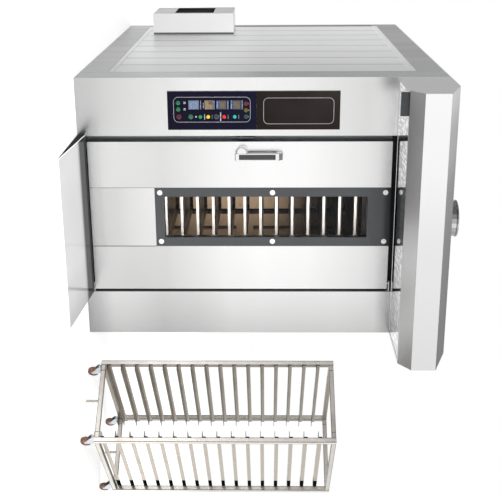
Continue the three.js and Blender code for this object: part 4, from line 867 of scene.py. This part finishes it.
def block(name, low, high):
    """A box primitive between two corners, ready to be shaped."""
    clear_selection()
    low, high = Vector(low), Vector(high)
    bpy.ops.mesh.primitive_cube_add(size=1.0, location=(low + high) / 2, scale=high - low)
    piece = bpy.context.object
    piece.name = name
    settle(piece)
    return piece


def disc(name, centre, radius, depth, axis="Y", sides=32):
    """A round primitive with its axis along X, Y or Z, ready to be shaped."""
    clear_selection()
    turn = {"X": (0, math.pi / 2, 0), "Y": (math.pi / 2, 0, 0), "Z": (0, 0, 0)}[axis]
    bpy.ops.mesh.primitive_cylinder_add(
        vertices=sides, radius=radius, depth=depth, location=centre, rotation=turn,
    )
    piece = bpy.context.object
    piece.name = name
    settle(piece)
    return piece


def rounded(piece, radius, segments=3, angle=35.0):
    """Rounds the sharp edges of a piece for good."""
    take(piece)
    modifier = piece.modifiers.new("rounded edges", "BEVEL")
    modifier.width = radius
    modifier.segments = segments
    modifier.limit_method = "ANGLE"
    modifier.angle_limit = math.radians(angle)
    bpy.ops.object.modifier_apply(modifier=modifier.name)
    return piece


def smooth(piece, angle=35.0):
    take(piece)
    bpy.ops.object.shade_smooth_by_angle(angle=math.radians(angle))
    return piece


def fit(piece, body, material):
    """Gives a finished piece its material and the body that it moves with."""
    piece.data.materials.clear()
    piece.data.materials.append(material)
    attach(piece, body)
    return piece


def copied(piece, name, offset):
    """A copy with a mesh of its own, moved by an offset that goes into the mesh."""
    twin = piece.copy()
    twin.data = piece.data.copy()
    twin.name = name
    bpy.context.scene.collection.objects.link(twin)
    twin.data.transform(Matrix.Translation(offset))
    return twin


FACING = 0.9                # a face looks along an axis when that part of its normal is over this


class Editing:
    """Holds one piece in edit mode for the lines under a with statement."""

    def __init__(self, piece):
        take(piece)

    def __enter__(self):
        bpy.ops.object.mode_set(mode="EDIT")

    def __exit__(self, *error):
        bpy.ops.object.mode_set(mode="OBJECT")


def select_faces(piece, test):
    """In edit mode, selects the faces whose centre and normal pass a test, and no others."""
    bpy.ops.mesh.select_mode(type="FACE")
    data = bmesh.from_edit_mesh(piece.data)
    data.normal_update()
    for face in data.faces:
        face.select_set(test(face.calc_center_median(), face.normal))
    data.select_flush_mode()
    bmesh.update_edit_mesh(piece.data)


def open_middle(piece, axis, border):
    """Opens a hole through a disc: its two ends are inset by the border and bridged."""
    with Editing(piece):
        select_faces(piece, lambda place, normal: abs(normal[axis]) > FACING)
        bpy.ops.mesh.inset(thickness=border, use_individual=True)
        bpy.ops.mesh.bridge_edge_loops()


def dress(node, material, edge=None, segments=2):
    """Gives a CAD node its finish and, where it shows, its folded edges."""
    piece = NODES[node]
    piece.data.materials.clear()
    piece.data.materials.append(material)
    if edge:
        piece.modifiers.new("joined faces", "WELD").merge_threshold = 0.00002
        flat = piece.modifiers.new("flat faces", "DECIMATE")
        flat.decimate_type = "DISSOLVE"
        flat.angle_limit = math.radians(0.5)
        bevel = piece.modifiers.new("folded edges", "BEVEL")
        bevel.width = edge
        bevel.segments = segments
        bevel.limit_method = "ANGLE"
        bevel.angle_limit = math.radians(35)
        bevel.harden_normals = True
    return piece


# ---------------------------------------------------------------------------------------------
# Stage
# ---------------------------------------------------------------------------------------------

LENS = 70.86                # millimetres, for a sensor of 36
SENSOR = 36.0
CAMERA_PLACE = Vector((-1.926, -7.685, 1.232))
CAMERA_YAW = math.radians(19.40)
CAMERA_PITCH = math.radians(-0.97)
FLOOR_HALF = 60.0
FLOOR_DROP = 0.0005         # under the wheels and the ramp, so that no faces meet
FLOOR_LIFT = 0.50           # the floor's own light, which makes it read white
LIGHT_LEVEL = 0.72          # of the room, for all but mirrored and seen rays


def add_camera():
    """The photograph lies on its side, so the camera is rolled a quarter turn."""
    forward = Vector((
        math.sin(CAMERA_YAW) * math.cos(CAMERA_PITCH),
        math.cos(CAMERA_YAW) * math.cos(CAMERA_PITCH),
        math.sin(CAMERA_PITCH),
    ))
    right = Vector((math.cos(CAMERA_YAW), -math.sin(CAMERA_YAW), 0.0))
    up = right.cross(forward)
    data = bpy.data.cameras.new("camera")
    data.lens = LENS
    data.sensor_width = SENSOR
    camera = bpy.data.objects.new("camera", data)
    bpy.context.scene.collection.objects.link(camera)
    turn = Matrix((up, -right, -forward)).transposed()
    camera.matrix_world = Matrix.Translation(CAMERA_PLACE) @ turn.to_4x4()
    bpy.context.scene.camera = camera


class Room(Graph):
    """The world: white for the eye, a plain level of light, and a shaded room for reflections."""

    def __init__(self):
        world = bpy.data.worlds.new("white room")
        world.use_nodes = True
        bpy.context.scene.world = world
        super().__init__(world.node_tree)
        self.tree.nodes.clear()
        self.rays = self.node("LightPath").outputs
        self.direction = self.node("TexCoord").outputs["Generated"]

    def dark_card(self, towards, low, high, level):
        """A soft dark card in one direction, as photographers use to draw edges on bright metal."""
        node = self.node("VectorMath")
        node.operation = "DOT_PRODUCT"
        self.link(self.direction, node.inputs[0])
        node.inputs[1].default_value = Vector(towards).normalized()
        return self.spread(node.outputs["Value"], low, high, 1.0, level, True)

    def background(self, strength):
        node = self.node("Background")
        node.inputs["Color"].default_value = (1, 1, 1, 1)
        self.feed(node.inputs["Strength"], strength)
        return node.outputs["Background"]

    def choose(self, ray, other, chosen):
        mix = self.node("MixShader")
        self.link(self.rays[ray], mix.inputs["Fac"])
        self.link(other, mix.inputs[1])
        self.link(chosen, mix.inputs[2])
        return mix.outputs["Shader"]

    def build(self, light_level):
        overhead = self.spread(self.split(self.direction, "Z"), 0.40, 0.72, 1.0, 0.30, True)
        behind = self.spread(self.split(self.direction, "Y"), 0.0, 0.9, 1.0, 0.76, True)
        left_card = self.dark_card((-0.97, -0.25, 0.0), 0.90, 0.97, 0.25)
        mirrored = self.times(self.times(overhead, behind), left_card)
        shader = self.choose("Is Glossy Ray", self.background(light_level), self.background(mirrored))
        shader = self.choose("Is Camera Ray", shader, self.background(1.0))
        shader = self.choose("Is Transmission Ray", shader, self.background(1.0))
        self.link(shader, self.node("OutputWorld").inputs["Surface"])


def add_floor(lift):
    """A pale floor that keeps the oven's shadow and reads white away from it."""
    clear_selection()
    bpy.ops.mesh.primitive_plane_add(size=2 * FLOOR_HALF, location=(0, 0, -FLOOR_DROP))
    floor = bpy.context.object
    floor.name = "floor"
    settle(floor)
    sockets = {"Specular_IOR_Level": 0.0, "Emission_Color": (1, 1, 1, 1)}
    finish = Finish("pale floor", (0.70, 0.70, 0.70), 0.9, **sockets)
    bounced = finish.node("LightPath").outputs["Is Diffuse Ray"]
    finish.link(finish.times(finish.inverse(bounced), lift), finish.shader.inputs["Emission Strength"])
    floor.data.materials.append(finish.material)


# Name, place, target, size, power in watts and tone.
LAMPS = (
    ("key lamp", (-6.0, -9.0, 6.5), (0.0, -1.0, 1.0), (5.0, 5.0), 620, (1, 1, 1)),
    ("fill lamp", (8.0, -5.0, 5.0), (0.5, -1.0, 1.0), (4.0, 4.0), 220, (1, 1, 1)),
    ("rear lamp", (2.0, 9.0, 6.0), (0.0, 0.0, 1.2), (4.0, 4.0), 260, (1, 1, 1)),
    ("rack lamp", (0.046, -1.30, 1.15), (0.046, -0.7, 1.15), (0.30, 1.7), 9, (1.0, 0.93, 0.85)),
    ("wall lamp", (0.046, -0.27, 1.0), (0.046, 0.2, 1.0), (0.8, 1.2), 4, (1.0, 0.88, 0.74)),
    ("ramp lamp", (0.2, -3.6, 2.6), (0.03, -1.75, 0.0), (1.2, 0.8), 40, (1, 1, 1)),
)


def add_lamp(name, place, target, size, power, tone):
    """A soft area lamp that lights the pieces without showing itself in them."""
    data = bpy.data.lights.new(name, "AREA")
    data.shape = "RECTANGLE"
    data.size, data.size_y = size
    data.energy = power
    data.color = tone
    lamp = bpy.data.objects.new(name, data)
    bpy.context.scene.collection.objects.link(lamp)
    place = Vector(place)
    lamp.location = place
    lamp.rotation_euler = (Vector(target) - place).to_track_quat("-Z", "Y").to_euler()
    lamp.visible_camera = False
    lamp.visible_glossy = False
    return lamp


class RACKOVEN_OT_stage(bpy.types.Operator):
    """Add the camera, the pale floor, the white room and the studio lamps"""

    bl_idname = "rackoven.stage"
    bl_label = "Stage"

    def execute(self, context):
        context.scene.view_settings.view_transform = "Standard"
        add_camera()
        Room().build(LIGHT_LEVEL)
        add_floor(FLOOR_LIFT)
        for lamp in LAMPS:
            add_lamp(*lamp)
        return {"FINISHED"}


# ---------------------------------------------------------------------------------------------
# Oven body
# ---------------------------------------------------------------------------------------------

class RACKOVEN_OT_body(bpy.types.Operator):
    """Finish the cladding, columns, roof, base, ramp and strike plate"""

    bl_idname = "rackoven.body"
    bl_label = "Oven body"

    def execute(self, context):
        edge = sizes().sheet_edge
        front = shared("front steel", front_steel)
        side = shared("side steel", side_steel)
        for node in ("left_front_column", "right_front_column"):
            dress(node, front, edge)
        for node in ("left_side_cladding", "right_side_cladding"):
            dress(node, side, edge)
        dress("rear_cladding", shared("rear steel", brushed_steel, (0.78, 0.785, 0.79), 0.34), edge)
        dress("roof_panel", shared("roof steel", brushed_steel, (0.80, 0.80, 0.81), 0.36, "Y"))
        dress("base_frame", shared("base steel", dark_steel, (0.16, 0.165, 0.17)))
        dress("entry_ramp", shared("ramp steel", ramp_steel), edge)
        dress("strike_plate", shared("strike steel", strike_steel), sizes().plate_edge)
        return {"FINISHED"}


UNDERSIDE_SHEET = 0.002     # thickness of the embossed sheet
SHEET_PAST_PANEL = 0.0092   # how far it reaches behind the panel that it replaces
END_CAP_SIDES = (-0.8745, -0.729)
END_CAP_DEPTHS = (0.004, 0.022)         # from the panel's front edge
END_CAP_HEIGHTS = (-0.053, -0.0002)     # from the panel's lower face


class RACKOVEN_OT_hood(bpy.types.Operator):
    """Finish the hood, its underside and the flue collar, and hang the end cap"""

    bl_idname = "rackoven.hood"
    bl_label = "Hood"

    def execute(self, context):
        edge = sizes().sheet_edge
        dress("hood_shell", shared("hood steel", hood_steel), edge)
        dress("flue_collar", shared("flue steel", flue_steel), edge)
        self.underside()
        self.underside_cap()
        return {"FINISHED"}

    def underside(self):
        """The flat embossed sheet under the hood, with a raised rim on its hidden side."""
        low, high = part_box("hood_underside_panel")
        top = low.z + UNDERSIDE_SHEET
        sheet = block("embossed_underside", low, (high.x, high.y + SHEET_PAST_PANEL, top))
        with Editing(sheet):
            select_faces(sheet, lambda place, normal: normal.z > FACING)
            bpy.ops.mesh.inset(thickness=0.012, depth=-0.001)
        fit(sheet, "oven", shared("embossed steel", embossed_steel))
        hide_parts("hood_underside_panel")

    def underside_cap(self):
        """The dark end cap that hangs at the left of the hood's lower front edge, with a pressed face."""
        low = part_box("hood_underside_panel")[0]
        near, far = (
            (place, low.y + depth, low.z + height)
            for place, depth, height in zip(END_CAP_SIDES, END_CAP_DEPTHS, END_CAP_HEIGHTS)
        )
        cap = block("underside_cap", near, far)
        with Editing(cap):
            select_faces(cap, lambda place, normal: normal.y < -FACING)
            bpy.ops.mesh.inset(thickness=0.006, depth=-0.001)
        rounded(cap, 0.0006, 2)
        fit(cap, "oven", shared("end cap paint", end_cap_paint))


class RACKOVEN_OT_burner(bpy.types.Operator):
    """Finish the burner and its cover"""

    bl_idname = "rackoven.burner"
    bl_label = "Burner"

    def execute(self, context):
        dress("burner_cover", shared("cover paint", cover_paint), sizes().sheet_edge)
        dress("burner", shared("burner grey", painted, (0.055, 0.058, 0.062)), sizes().sheet_edge)
        return {"FINISHED"}


# Dark tones of the loaded rack and its rails inside the chamber.
LOADED_RACK_TONE = (0.10, 0.10, 0.115)
LOADED_RAIL_TONE = (0.30, 0.27, 0.24)
RACK_SIDE_TO_RAIL = 0.0314      # from the loaded rack's side to the backs of its rails
TRAYS = 13
TRAY_PITCH = 0.110
TRAY_HALF = 0.2795
LOWEST_RIM = 0.5205
RIM_HEIGHT = 0.0180
RIM_BEHIND_RACK = 0.020         # from the rack's front to the trays' fronts


class RACKOVEN_OT_machinery(bpy.types.Operator):
    """Finish the chamber, turntable, loaded rack, fan, heat exchanger and drives, and rim the trays"""

    bl_idname = "rackoven.machinery"
    bl_label = "Chamber and machinery"

    def execute(self, context):
        dress("chamber_shell", shared("chamber steel", chamber_steel))
        dress("heat_exchanger", shared("heat steel", brushed_steel, (0.42, 0.34, 0.26), 0.4))
        dress("turntable", shared("turntable steel", dark_steel, (0.20, 0.18, 0.16)))
        dress("circulation_fan", shared("fan zinc", brushed_steel, (0.62, 0.65, 0.67), 0.4))
        for node in ("fan_motor", "rack_gearmotor", "drive_sprocket", "drive_chain"):
            dress(node, shared("cast iron", cast_iron, (0.06, 0.065, 0.07)))
        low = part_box("loaded_rack")[0]
        centre = middle_of("loaded_rack")
        centre.z = 0.0
        rail_edge = centre.x - low.x - RACK_SIDE_TO_RAIL
        dress("loaded_rack", shared(
            "baked rack steel", rack_steel, LOADED_RACK_TONE, LOADED_RAIL_TONE, centre, 0.0, rail_edge, None, 0.32,
        ))
        self.rim_trays(centre.x, low.y + RIM_BEHIND_RACK)
        return {"FINISHED"}

    def rim_trays(self, middle, front):
        """The bright rolled rims that face the window, modelled once and copied up the rack."""
        rim = block("tray_rim_01", (middle - TRAY_HALF, front - sizes().tray_rim, LOWEST_RIM),
                    (middle + TRAY_HALF, front - 0.0002, LOWEST_RIM + RIM_HEIGHT))
        rounded(rim, 0.0012, 3)
        smooth(rim)
        material = shared("tray aluminium", tray_metal)
        fit(rim, "turntable", material)
        for number in range(1, TRAYS):
            twin = copied(rim, f"tray_rim_{number + 1:02d}", Vector((0, 0, number * TRAY_PITCH)))
            fit(twin, "turntable", material)


# ---------------------------------------------------------------------------------------------
# Door, window and handle
# ---------------------------------------------------------------------------------------------

SCREW_CAP_INSET = 0.034         # from the frame's edges to the screws' middles
SCREW_CAP_DEPTH = 0.0045
SCREW_CAP_STAND_OUT = 0.0008


class RACKOVEN_OT_door(bpy.types.Operator):
    """Finish the door, its window frame, panes and seal, and cap the frame's screws"""

    bl_idname = "rackoven.door"
    bl_label = "Door"

    def execute(self, context):
        edge = sizes().plate_edge
        dress("door_core", shared("door edge steel", door_edge_steel))
        dress("door_skin", shared("front steel", front_steel), edge)
        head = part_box("window_frame")[1].z
        dress("window_frame", shared("frame steel", dark_steel, tuple(colours().frame), 0.4, head), edge)
        for node in ("outer_glass", "inner_glass"):
            dress(node, shared("oven glass", window_glass))
        dress("door_gasket", shared("seal rubber", seal_rubber), sizes().sheet_edge)
        self.cap_screws()
        return {"FINISHED"}

    def cap_screws(self):
        """Domed caps over the six screws, modelled once and copied."""
        low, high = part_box("window_frame")
        rows = (low.z + SCREW_CAP_INSET, (low.z + high.z) / 2, high.z - SCREW_CAP_INSET)
        columns = (low.x + SCREW_CAP_INSET, high.x - SCREW_CAP_INSET)
        centre = (columns[0], low.y + SCREW_CAP_DEPTH / 2 - SCREW_CAP_STAND_OUT, rows[0])
        cap = disc("window_cap_1", centre, sizes().window_cap, SCREW_CAP_DEPTH)
        rounded(cap, 0.0022, 3)
        smooth(cap)
        material = shared("cap steel", painted, (0.88, 0.88, 0.88), 0.3)
        fit(cap, "door", material)
        offsets = [Vector((column - columns[0], 0, row - rows[0])) for row in rows for column in columns]
        for number, offset in enumerate(offsets[1:], 2):
            fit(copied(cap, f"window_cap_{number}", offset), "door", material)


GROOVE_DEPTH = 0.0014       # between the ribs of the grip


class RACKOVEN_OT_handle(bpy.types.Operator):
    """Finish the lever, its ribbed grip, the round boss and the latch bolt"""

    bl_idname = "rackoven.handle"
    bl_label = "Handle"

    def execute(self, context):
        chrome = shared("handle chrome", handle_chrome)
        dress("handle_lever", chrome, sizes().lever_edge, 4)
        dress("handle_escutcheon", chrome, 0.0015)
        dress("latch_bolt", shared("bolt steel", dark_steel, (0.02, 0.021, 0.022)), sizes().plate_edge)
        self.ribbed_grip()
        return {"FINISHED"}

    def ribbed_grip(self):
        """A strip with grooves pushed into its front face, which leaves the ribs."""
        low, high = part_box("handle_grip")
        grip = block("ribbed_grip", low, high)
        bands = 2 * sizes().grip_ribs + 1
        pitch = (high.x - low.x) / bands

        def is_groove(place, normal):
            return normal.y < -FACING and int((place.x - low.x) / pitch) % 2 == 1

        with Editing(grip):
            for cut in range(1, bands):
                bpy.ops.mesh.select_all(action="SELECT")
                bpy.ops.mesh.bisect(plane_co=(low.x + pitch * cut, 0, 0), plane_no=(1, 0, 0))
            select_faces(grip, is_groove)
            bpy.ops.mesh.extrude_region_move(TRANSFORM_OT_translate={"value": (0, GROOVE_DEPTH, 0)})
        rounded(grip, 0.0004, 1)
        fit(grip, "handle", shared("grip plastic", moulded, (0.036, 0.037, 0.038), 0.5))
        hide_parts("handle_grip")


# ---------------------------------------------------------------------------------------------
# Control panel
# ---------------------------------------------------------------------------------------------

BUTTON_COLOURS = {
    "light_button": (0.01, 0.38, 0.34),
    "stop_button": (0.60, 0.02, 0.03),
    "buzzer_button": (0.02, 0.02, 0.03),
    "steam_button": (0.76, 0.52, 0.02),
    "start_button": (0.01, 0.22, 0.09),
    "damper_button": (0.008, 0.12, 0.05),
    "reset_button": (0.04, 0.006, 0.012),
    "burner_switch": (0.008, 0.17, 0.065),
    "rotation_switch": (0.008, 0.17, 0.065),
    "heating_lamp": (0.12, 0.006, 0.008),
    "fan_lamp": (0.10, 0.075, 0.008),
    "power_lamp": (0.006, 0.05, 0.02),
}
RING_COLOURS = {
    "buzzer_button": (0.10, 0.11, 0.13),
    "damper_button": (0.05, 0.16, 0.10),
    "reset_button": (0.22, 0.015, 0.03),
    "heating_lamp": (0.09, 0.02, 0.025),
    "fan_lamp": (0.10, 0.08, 0.02),
    "power_lamp": (0.03, 0.06, 0.06),
}
SCREENS = ("upper_temperature_display", "lower_temperature_display")
UPPER_BORDER = ((-0.756, 1.211), (-0.5855, 1.664))      # lower left and upper right corners
LOWER_BORDER = ((-0.762, 0.6335), (-0.598, 1.1285))
LINE_RELIEF = 0.0006        # how far the borders and the print stand out of the plates
RING_CLEARANCE = 0.0006     # between a ring and the button inside it
MODULE_EDGE = 0.0006
KEYS = 8


class RACKOVEN_OT_controls(bpy.types.Operator):
    """Finish the control plates, displays, buttons, switches and lamps"""

    bl_idname = "rackoven.controls"
    bl_label = "Controls"

    def execute(self, context):
        palette = colours()
        low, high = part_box("upper_control_plate")
        dress("upper_control_plate", shared(
            "upper plate", gloss_plate, tuple(palette.upper_plate), (0.034, 0.027, 0.024), low.z, high.z,
        ), sizes().plate_edge)
        self.border("upper_panel_border", *UPPER_BORDER, low.y)
        low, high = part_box("lower_control_plate")
        dress("lower_control_plate", shared(
            "lower plate", gloss_plate, tuple(palette.lower_plate), (0.008, 0.008, 0.022), low.z, high.z,
        ), sizes().plate_edge)
        self.border("lower_panel_border", *LOWER_BORDER, low.y)
        for name, tone in BUTTON_COLOURS.items():
            dress(name, shared(f"{name} plastic", moulded, tone, 0.25), sizes().plate_edge)
        for name, tone in RING_COLOURS.items():
            self.ring(name, tone, low.y)
        self.modules(low.y)
        self.marks(low.y)
        return {"FINISHED"}

    def border(self, name, low, high, front):
        """A thin raised line: a plane with rounded corners, inset and pulled forward."""
        clear_selection()
        centre = ((low[0] + high[0]) / 2, front - 0.0002, (low[1] + high[1]) / 2)
        bpy.ops.mesh.primitive_plane_add(size=1.0, location=centre, rotation=(math.pi / 2, 0, 0))
        line = bpy.context.object
        line.name = name
        line.scale = (high[0] - low[0], high[1] - low[1], 1)
        settle(line)
        with Editing(line):
            bpy.ops.mesh.select_all(action="SELECT")
            bpy.ops.mesh.bevel(offset=sizes().border_corner, segments=8, affect="VERTICES")
            bpy.ops.mesh.select_all(action="SELECT")
            bpy.ops.mesh.inset(thickness=sizes().border_line)
            bpy.ops.mesh.delete(type="FACE")
            bpy.ops.mesh.select_all(action="SELECT")
            bpy.ops.mesh.extrude_region_move(TRANSFORM_OT_translate={"value": (0, -LINE_RELIEF, 0)})
            bpy.ops.mesh.select_all(action="SELECT")
            bpy.ops.mesh.normals_make_consistent(inside=False)
        fit(line, "oven", shared("border paint", painted, (0.33, 0.31, 0.33)))

    def ring(self, name, tone, front):
        """A flat collar round a button or a lamp: a disc whose middle is inset and bridged open."""
        low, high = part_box(name)
        radius = (high.x - low.x) / 2
        outer = radius + sizes().ring_width
        middle = middle_of(name)
        collar = disc(f"{name}_ring", (middle.x, front - 0.0007, middle.z), outer, 0.0012, "Y", 28)
        open_middle(collar, 1, outer - radius - RING_CLEARANCE)
        smooth(collar)
        fit(collar, "oven", shared(f"{name} ring plastic", moulded, tone, 0.3))

    def strip(self, name, low, high, front, material, slot):
        """A thin printed strip on the lower plate, from its lower left to its upper right corner."""
        piece = block(name, (low[0], front - LINE_RELIEF, low[1]), (high[0], front - 0.0001, high[1]))
        fit(piece, "oven", material)

    def modules(self, front):
        """Frames, screens and printed strips of the displays, the timer and the keypad."""
        pale = shared("pale print", printed_label, (0.26, 0.28, 0.36))
        blue = shared("blue print", printed_label, (0.17, 0.25, 0.50))
        for name in SCREENS:
            dress(name, shared("display plastic", moulded, (0.055, 0.060, 0.085), 0.3), MODULE_EDGE)
            low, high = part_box(name)
            glass = block(f"{name}_screen", (low.x + 0.0085, low.y + 0.0006, low.z + 0.006),
                          (high.x - 0.0085, low.y + 0.0026, high.z - 0.0075))
            fit(glass, "oven", shared("dim screen", dim_screen))
            self.strip(f"{name}_print", (low.x + 0.002, low.z - 0.0135), (high.x - 0.002, low.z - 0.0025),
                       front, blue, "keypad_blue")
            self.strip(f"{name}_title", (low.x + 0.001, high.z + 0.006), (high.x + 0.001, high.z + 0.013),
                       front, pale, "white_paint")
        dress("baking_timer", shared("timer plastic", moulded, (0.20, 0.145, 0.085), 0.3), MODULE_EDGE)
        low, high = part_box("baking_timer")
        corner = block("timer_window", (low.x + 0.004, low.y - 0.0004, low.z + 0.026),
                       (low.x + 0.026, low.y + 0.001, high.z - 0.003))
        fit(corner, "oven", shared("dim screen", dim_screen))
        self.strip("timer_title", (low.x, high.z + 0.0035), (high.x, high.z + 0.010),
                   front, pale, "white_paint")
        self.strip("timer_print", (low.x + 0.015, low.z - 0.0105), (high.x - 0.006, low.z - 0.005),
                   front, pale, "white_paint")
        low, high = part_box("programme_keypad")
        dress("programme_keypad", shared("keypad plastic", moulded, (0.13, 0.17, 0.26), 0.4), MODULE_EDGE)
        self.strip("keypad_title", (low.x, high.z + 0.009), (high.x, high.z + 0.015),
                   front, pale, "white_paint")
        self.keypad_dial()

    def keypad_dial(self):
        """Round keys in an oval on the keypad, modelled once and copied."""
        centre = middle_of("programme_keypad")
        centre.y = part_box("programme_keypad")[0].y - 0.0001
        material = shared("key plastic", moulded, (0.22, 0.26, 0.36), 0.4)
        half_width, half_height = 0.017, 0.021
        start = Vector((half_width, 0, 0))
        first = disc("keypad_key_1", centre + start, 0.0048, 0.0016, "Y", 16)
        rounded(first, 0.0005, 2)
        fit(first, "oven", material)
        for number in range(1, KEYS):
            angle = 2 * math.pi * number / KEYS
            offset = Vector((half_width * math.cos(angle), 0, half_height * math.sin(angle)))
            fit(copied(first, f"keypad_key_{number + 1}", offset - start), "oven", material)

    def marks(self, front):
        """Small plain marks by the lamps, buttons and switches."""
        white = shared("white print", printed_label, (0.46, 0.47, 0.50))
        dim = shared("dim print", printed_label, (0.16, 0.16, 0.19))
        solid = shared("mark paint", painted, (0.42, 0.43, 0.46))
        dot_tones = {"heating_lamp": (0.45, 0.03, 0.04), "fan_lamp": (0.42, 0.33, 0.02),
                     "power_lamp": (0.12, 0.18, 0.42)}
        for name, tone in dot_tones.items():
            paint = shared(f"{name} mark paint", painted, tone)
            self.mark(name, "mark", 0.0, 0.003, 0.004, 0.009, front, paint)
        for name in ("burner_switch", "rotation_switch"):
            self.mark(name, "mark_left", -0.004, 0.0022, 0.020, 0.034, front, solid)
            self.mark(name, "mark_right", 0.004, 0.0022, 0.020, 0.034, front, solid)
        self.mark("stop_button", "print", 0.0, 0.029, -0.038, -0.0315, front, white)
        self.mark("steam_button", "print", 0.0, 0.017, -0.038, -0.0315, front, white)
        for name in ("steam_button", "light_button", "stop_button"):
            self.mark(name, "title", 0.0, 0.013, 0.011, 0.016, front, dim)
        self.mark("damper_button", "mark", 0.0, 0.0045, 0.017, 0.027, front, solid)

    def mark(self, node, kind, shift, half, bottom, top, front, material):
        """A strip by a node: shift and half width from its middle, bottom and top from its upper edge."""
        middle = middle_of(node).x + shift
        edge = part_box(node)[1].z
        self.strip(f"{node}_{kind}", (middle - half, edge + bottom), (middle + half, edge + top),
                   front, material, "white_paint")


# ---------------------------------------------------------------------------------------------
# Trolley
# ---------------------------------------------------------------------------------------------

CASTERS = ("front_left", "front_right", "rear_left", "rear_right")
TROLLEY_PLACE = (1.588, -1.520, 0.0)
TROLLEY_TURN = math.radians(-52.3)
TROLLEY_RAIL_EDGE = 0.2637
# Half width of a post, its place from the trolley's middle, and the heights of the crossbars.
TROLLEY_POST = (0.0165, (0.2785, 0.4635), (0.1165, 1.6715))
AXLE_DIRECTION = Vector((-0.4179, 0.9085, 0.0))
WHEEL_WIDTH = 0.0236


class RACKOVEN_OT_trolley(bpy.types.Operator):
    """Finish the trolley's frame and its forks, and model its wheels"""

    bl_idname = "rackoven.trolley"
    bl_label = "Trolley"

    def execute(self, context):
        palette = colours()
        dress("trolley_frame", shared(
            "trolley steel", rack_steel, tuple(palette.rack), tuple(palette.rail), TROLLEY_PLACE,
            TROLLEY_TURN, TROLLEY_RAIL_EDGE, TROLLEY_POST, 0.26,
        ))
        for name in CASTERS:
            dress(f"{name}_fork", shared("fork zinc", polished_steel, (0.60, 0.66, 0.70), 0.3))
        self.wheels()
        return {"FINISHED"}

    def wheels(self):
        """A wheel with a crowned tread and a stepped hub, modelled once and copied to each caster."""
        centre = middle_of("front_left_wheel")
        radius = centre.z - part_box("front_left_wheel")[0].z
        tread = disc("wheel_tread", (0, 0, 0), radius - 0.0001, WHEEL_WIDTH, "X", 40)
        open_middle(tread, 0, radius - sizes().hub)
        rounded(tread, 0.004, 3, 40)
        smooth(tread)
        hub = disc("wheel_hub", (0, 0, 0), sizes().hub - 0.0002, WHEEL_WIDTH - 0.004, "X", 32)

        def is_middle(place, normal):
            return abs(normal.x) > FACING and place.yz.length < 0.002

        with Editing(hub):
            for thickness, depth in ((0.004, -0.002), (0.006, 0.003)):
                select_faces(hub, is_middle)
                bpy.ops.mesh.inset(thickness=thickness, depth=depth, use_individual=True)
        smooth(hub)
        turn = Matrix.Translation(centre) @ AXLE_DIRECTION.to_track_quat("X", "Z").to_matrix().to_4x4()
        looks = ((tread, "tread", shared("wheel tread", wheel_tread)),
                 (hub, "hub", shared("hub plastic", moulded, (0.34, 0.22, 0.16), 0.4)))
        for piece, kind, material in looks:
            piece.data.transform(turn)
            for name in CASTERS:
                wheel_part = copied(piece, f"{name}_{kind}", middle_of(f"{name}_wheel") - centre)
                fit(wheel_part, f"{name}_wheel", material)
                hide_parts(f"{name}_wheel")
            bpy.data.objects.remove(piece)


# ---------------------------------------------------------------------------------------------
# Panel and running
# ---------------------------------------------------------------------------------------------

OPERATORS = (
    RACKOVEN_OT_stage,
    RACKOVEN_OT_body,
    RACKOVEN_OT_hood,
    RACKOVEN_OT_burner,
    RACKOVEN_OT_machinery,
    RACKOVEN_OT_door,
    RACKOVEN_OT_handle,
    RACKOVEN_OT_controls,
    RACKOVEN_OT_trolley,
)


class RACKOVEN_PT_sidebar(bpy.types.Panel):
    """The oven's steps, sizes and colours in the sidebar of the 3D view"""

    bl_idname = "RACKOVEN_PT_sidebar"
    bl_label = "Rack oven"
    bl_space_type = "VIEW_3D"
    bl_region_type = "UI"
    bl_category = "Rack oven"

    def draw(self, context):
        layout = self.layout
        for operator in OPERATORS:
            layout.operator(operator.bl_idname)
        for group in (context.scene.rack_oven_sizes, context.scene.rack_oven_colours):
            for name in group.__annotations__:
                layout.prop(group, name)


CLASSES = (RackOvenSizes, RackOvenColours, *OPERATORS, RACKOVEN_PT_sidebar)


def register():
    for item in CLASSES:
        bpy.utils.register_class(item)
    bpy.types.Scene.rack_oven_sizes = PointerProperty(type=RackOvenSizes)
    bpy.types.Scene.rack_oven_colours = PointerProperty(type=RackOvenColours)


def unregister():
    del bpy.types.Scene.rack_oven_sizes
    del bpy.types.Scene.rack_oven_colours
    for item in reversed(CLASSES):
        bpy.utils.unregister_class(item)


def main():
    register()
    for operator in OPERATORS:
        group, step = operator.bl_idname.split(".")
        getattr(getattr(bpy.ops, group), step)()


if __name__ == "__main__":
    main()
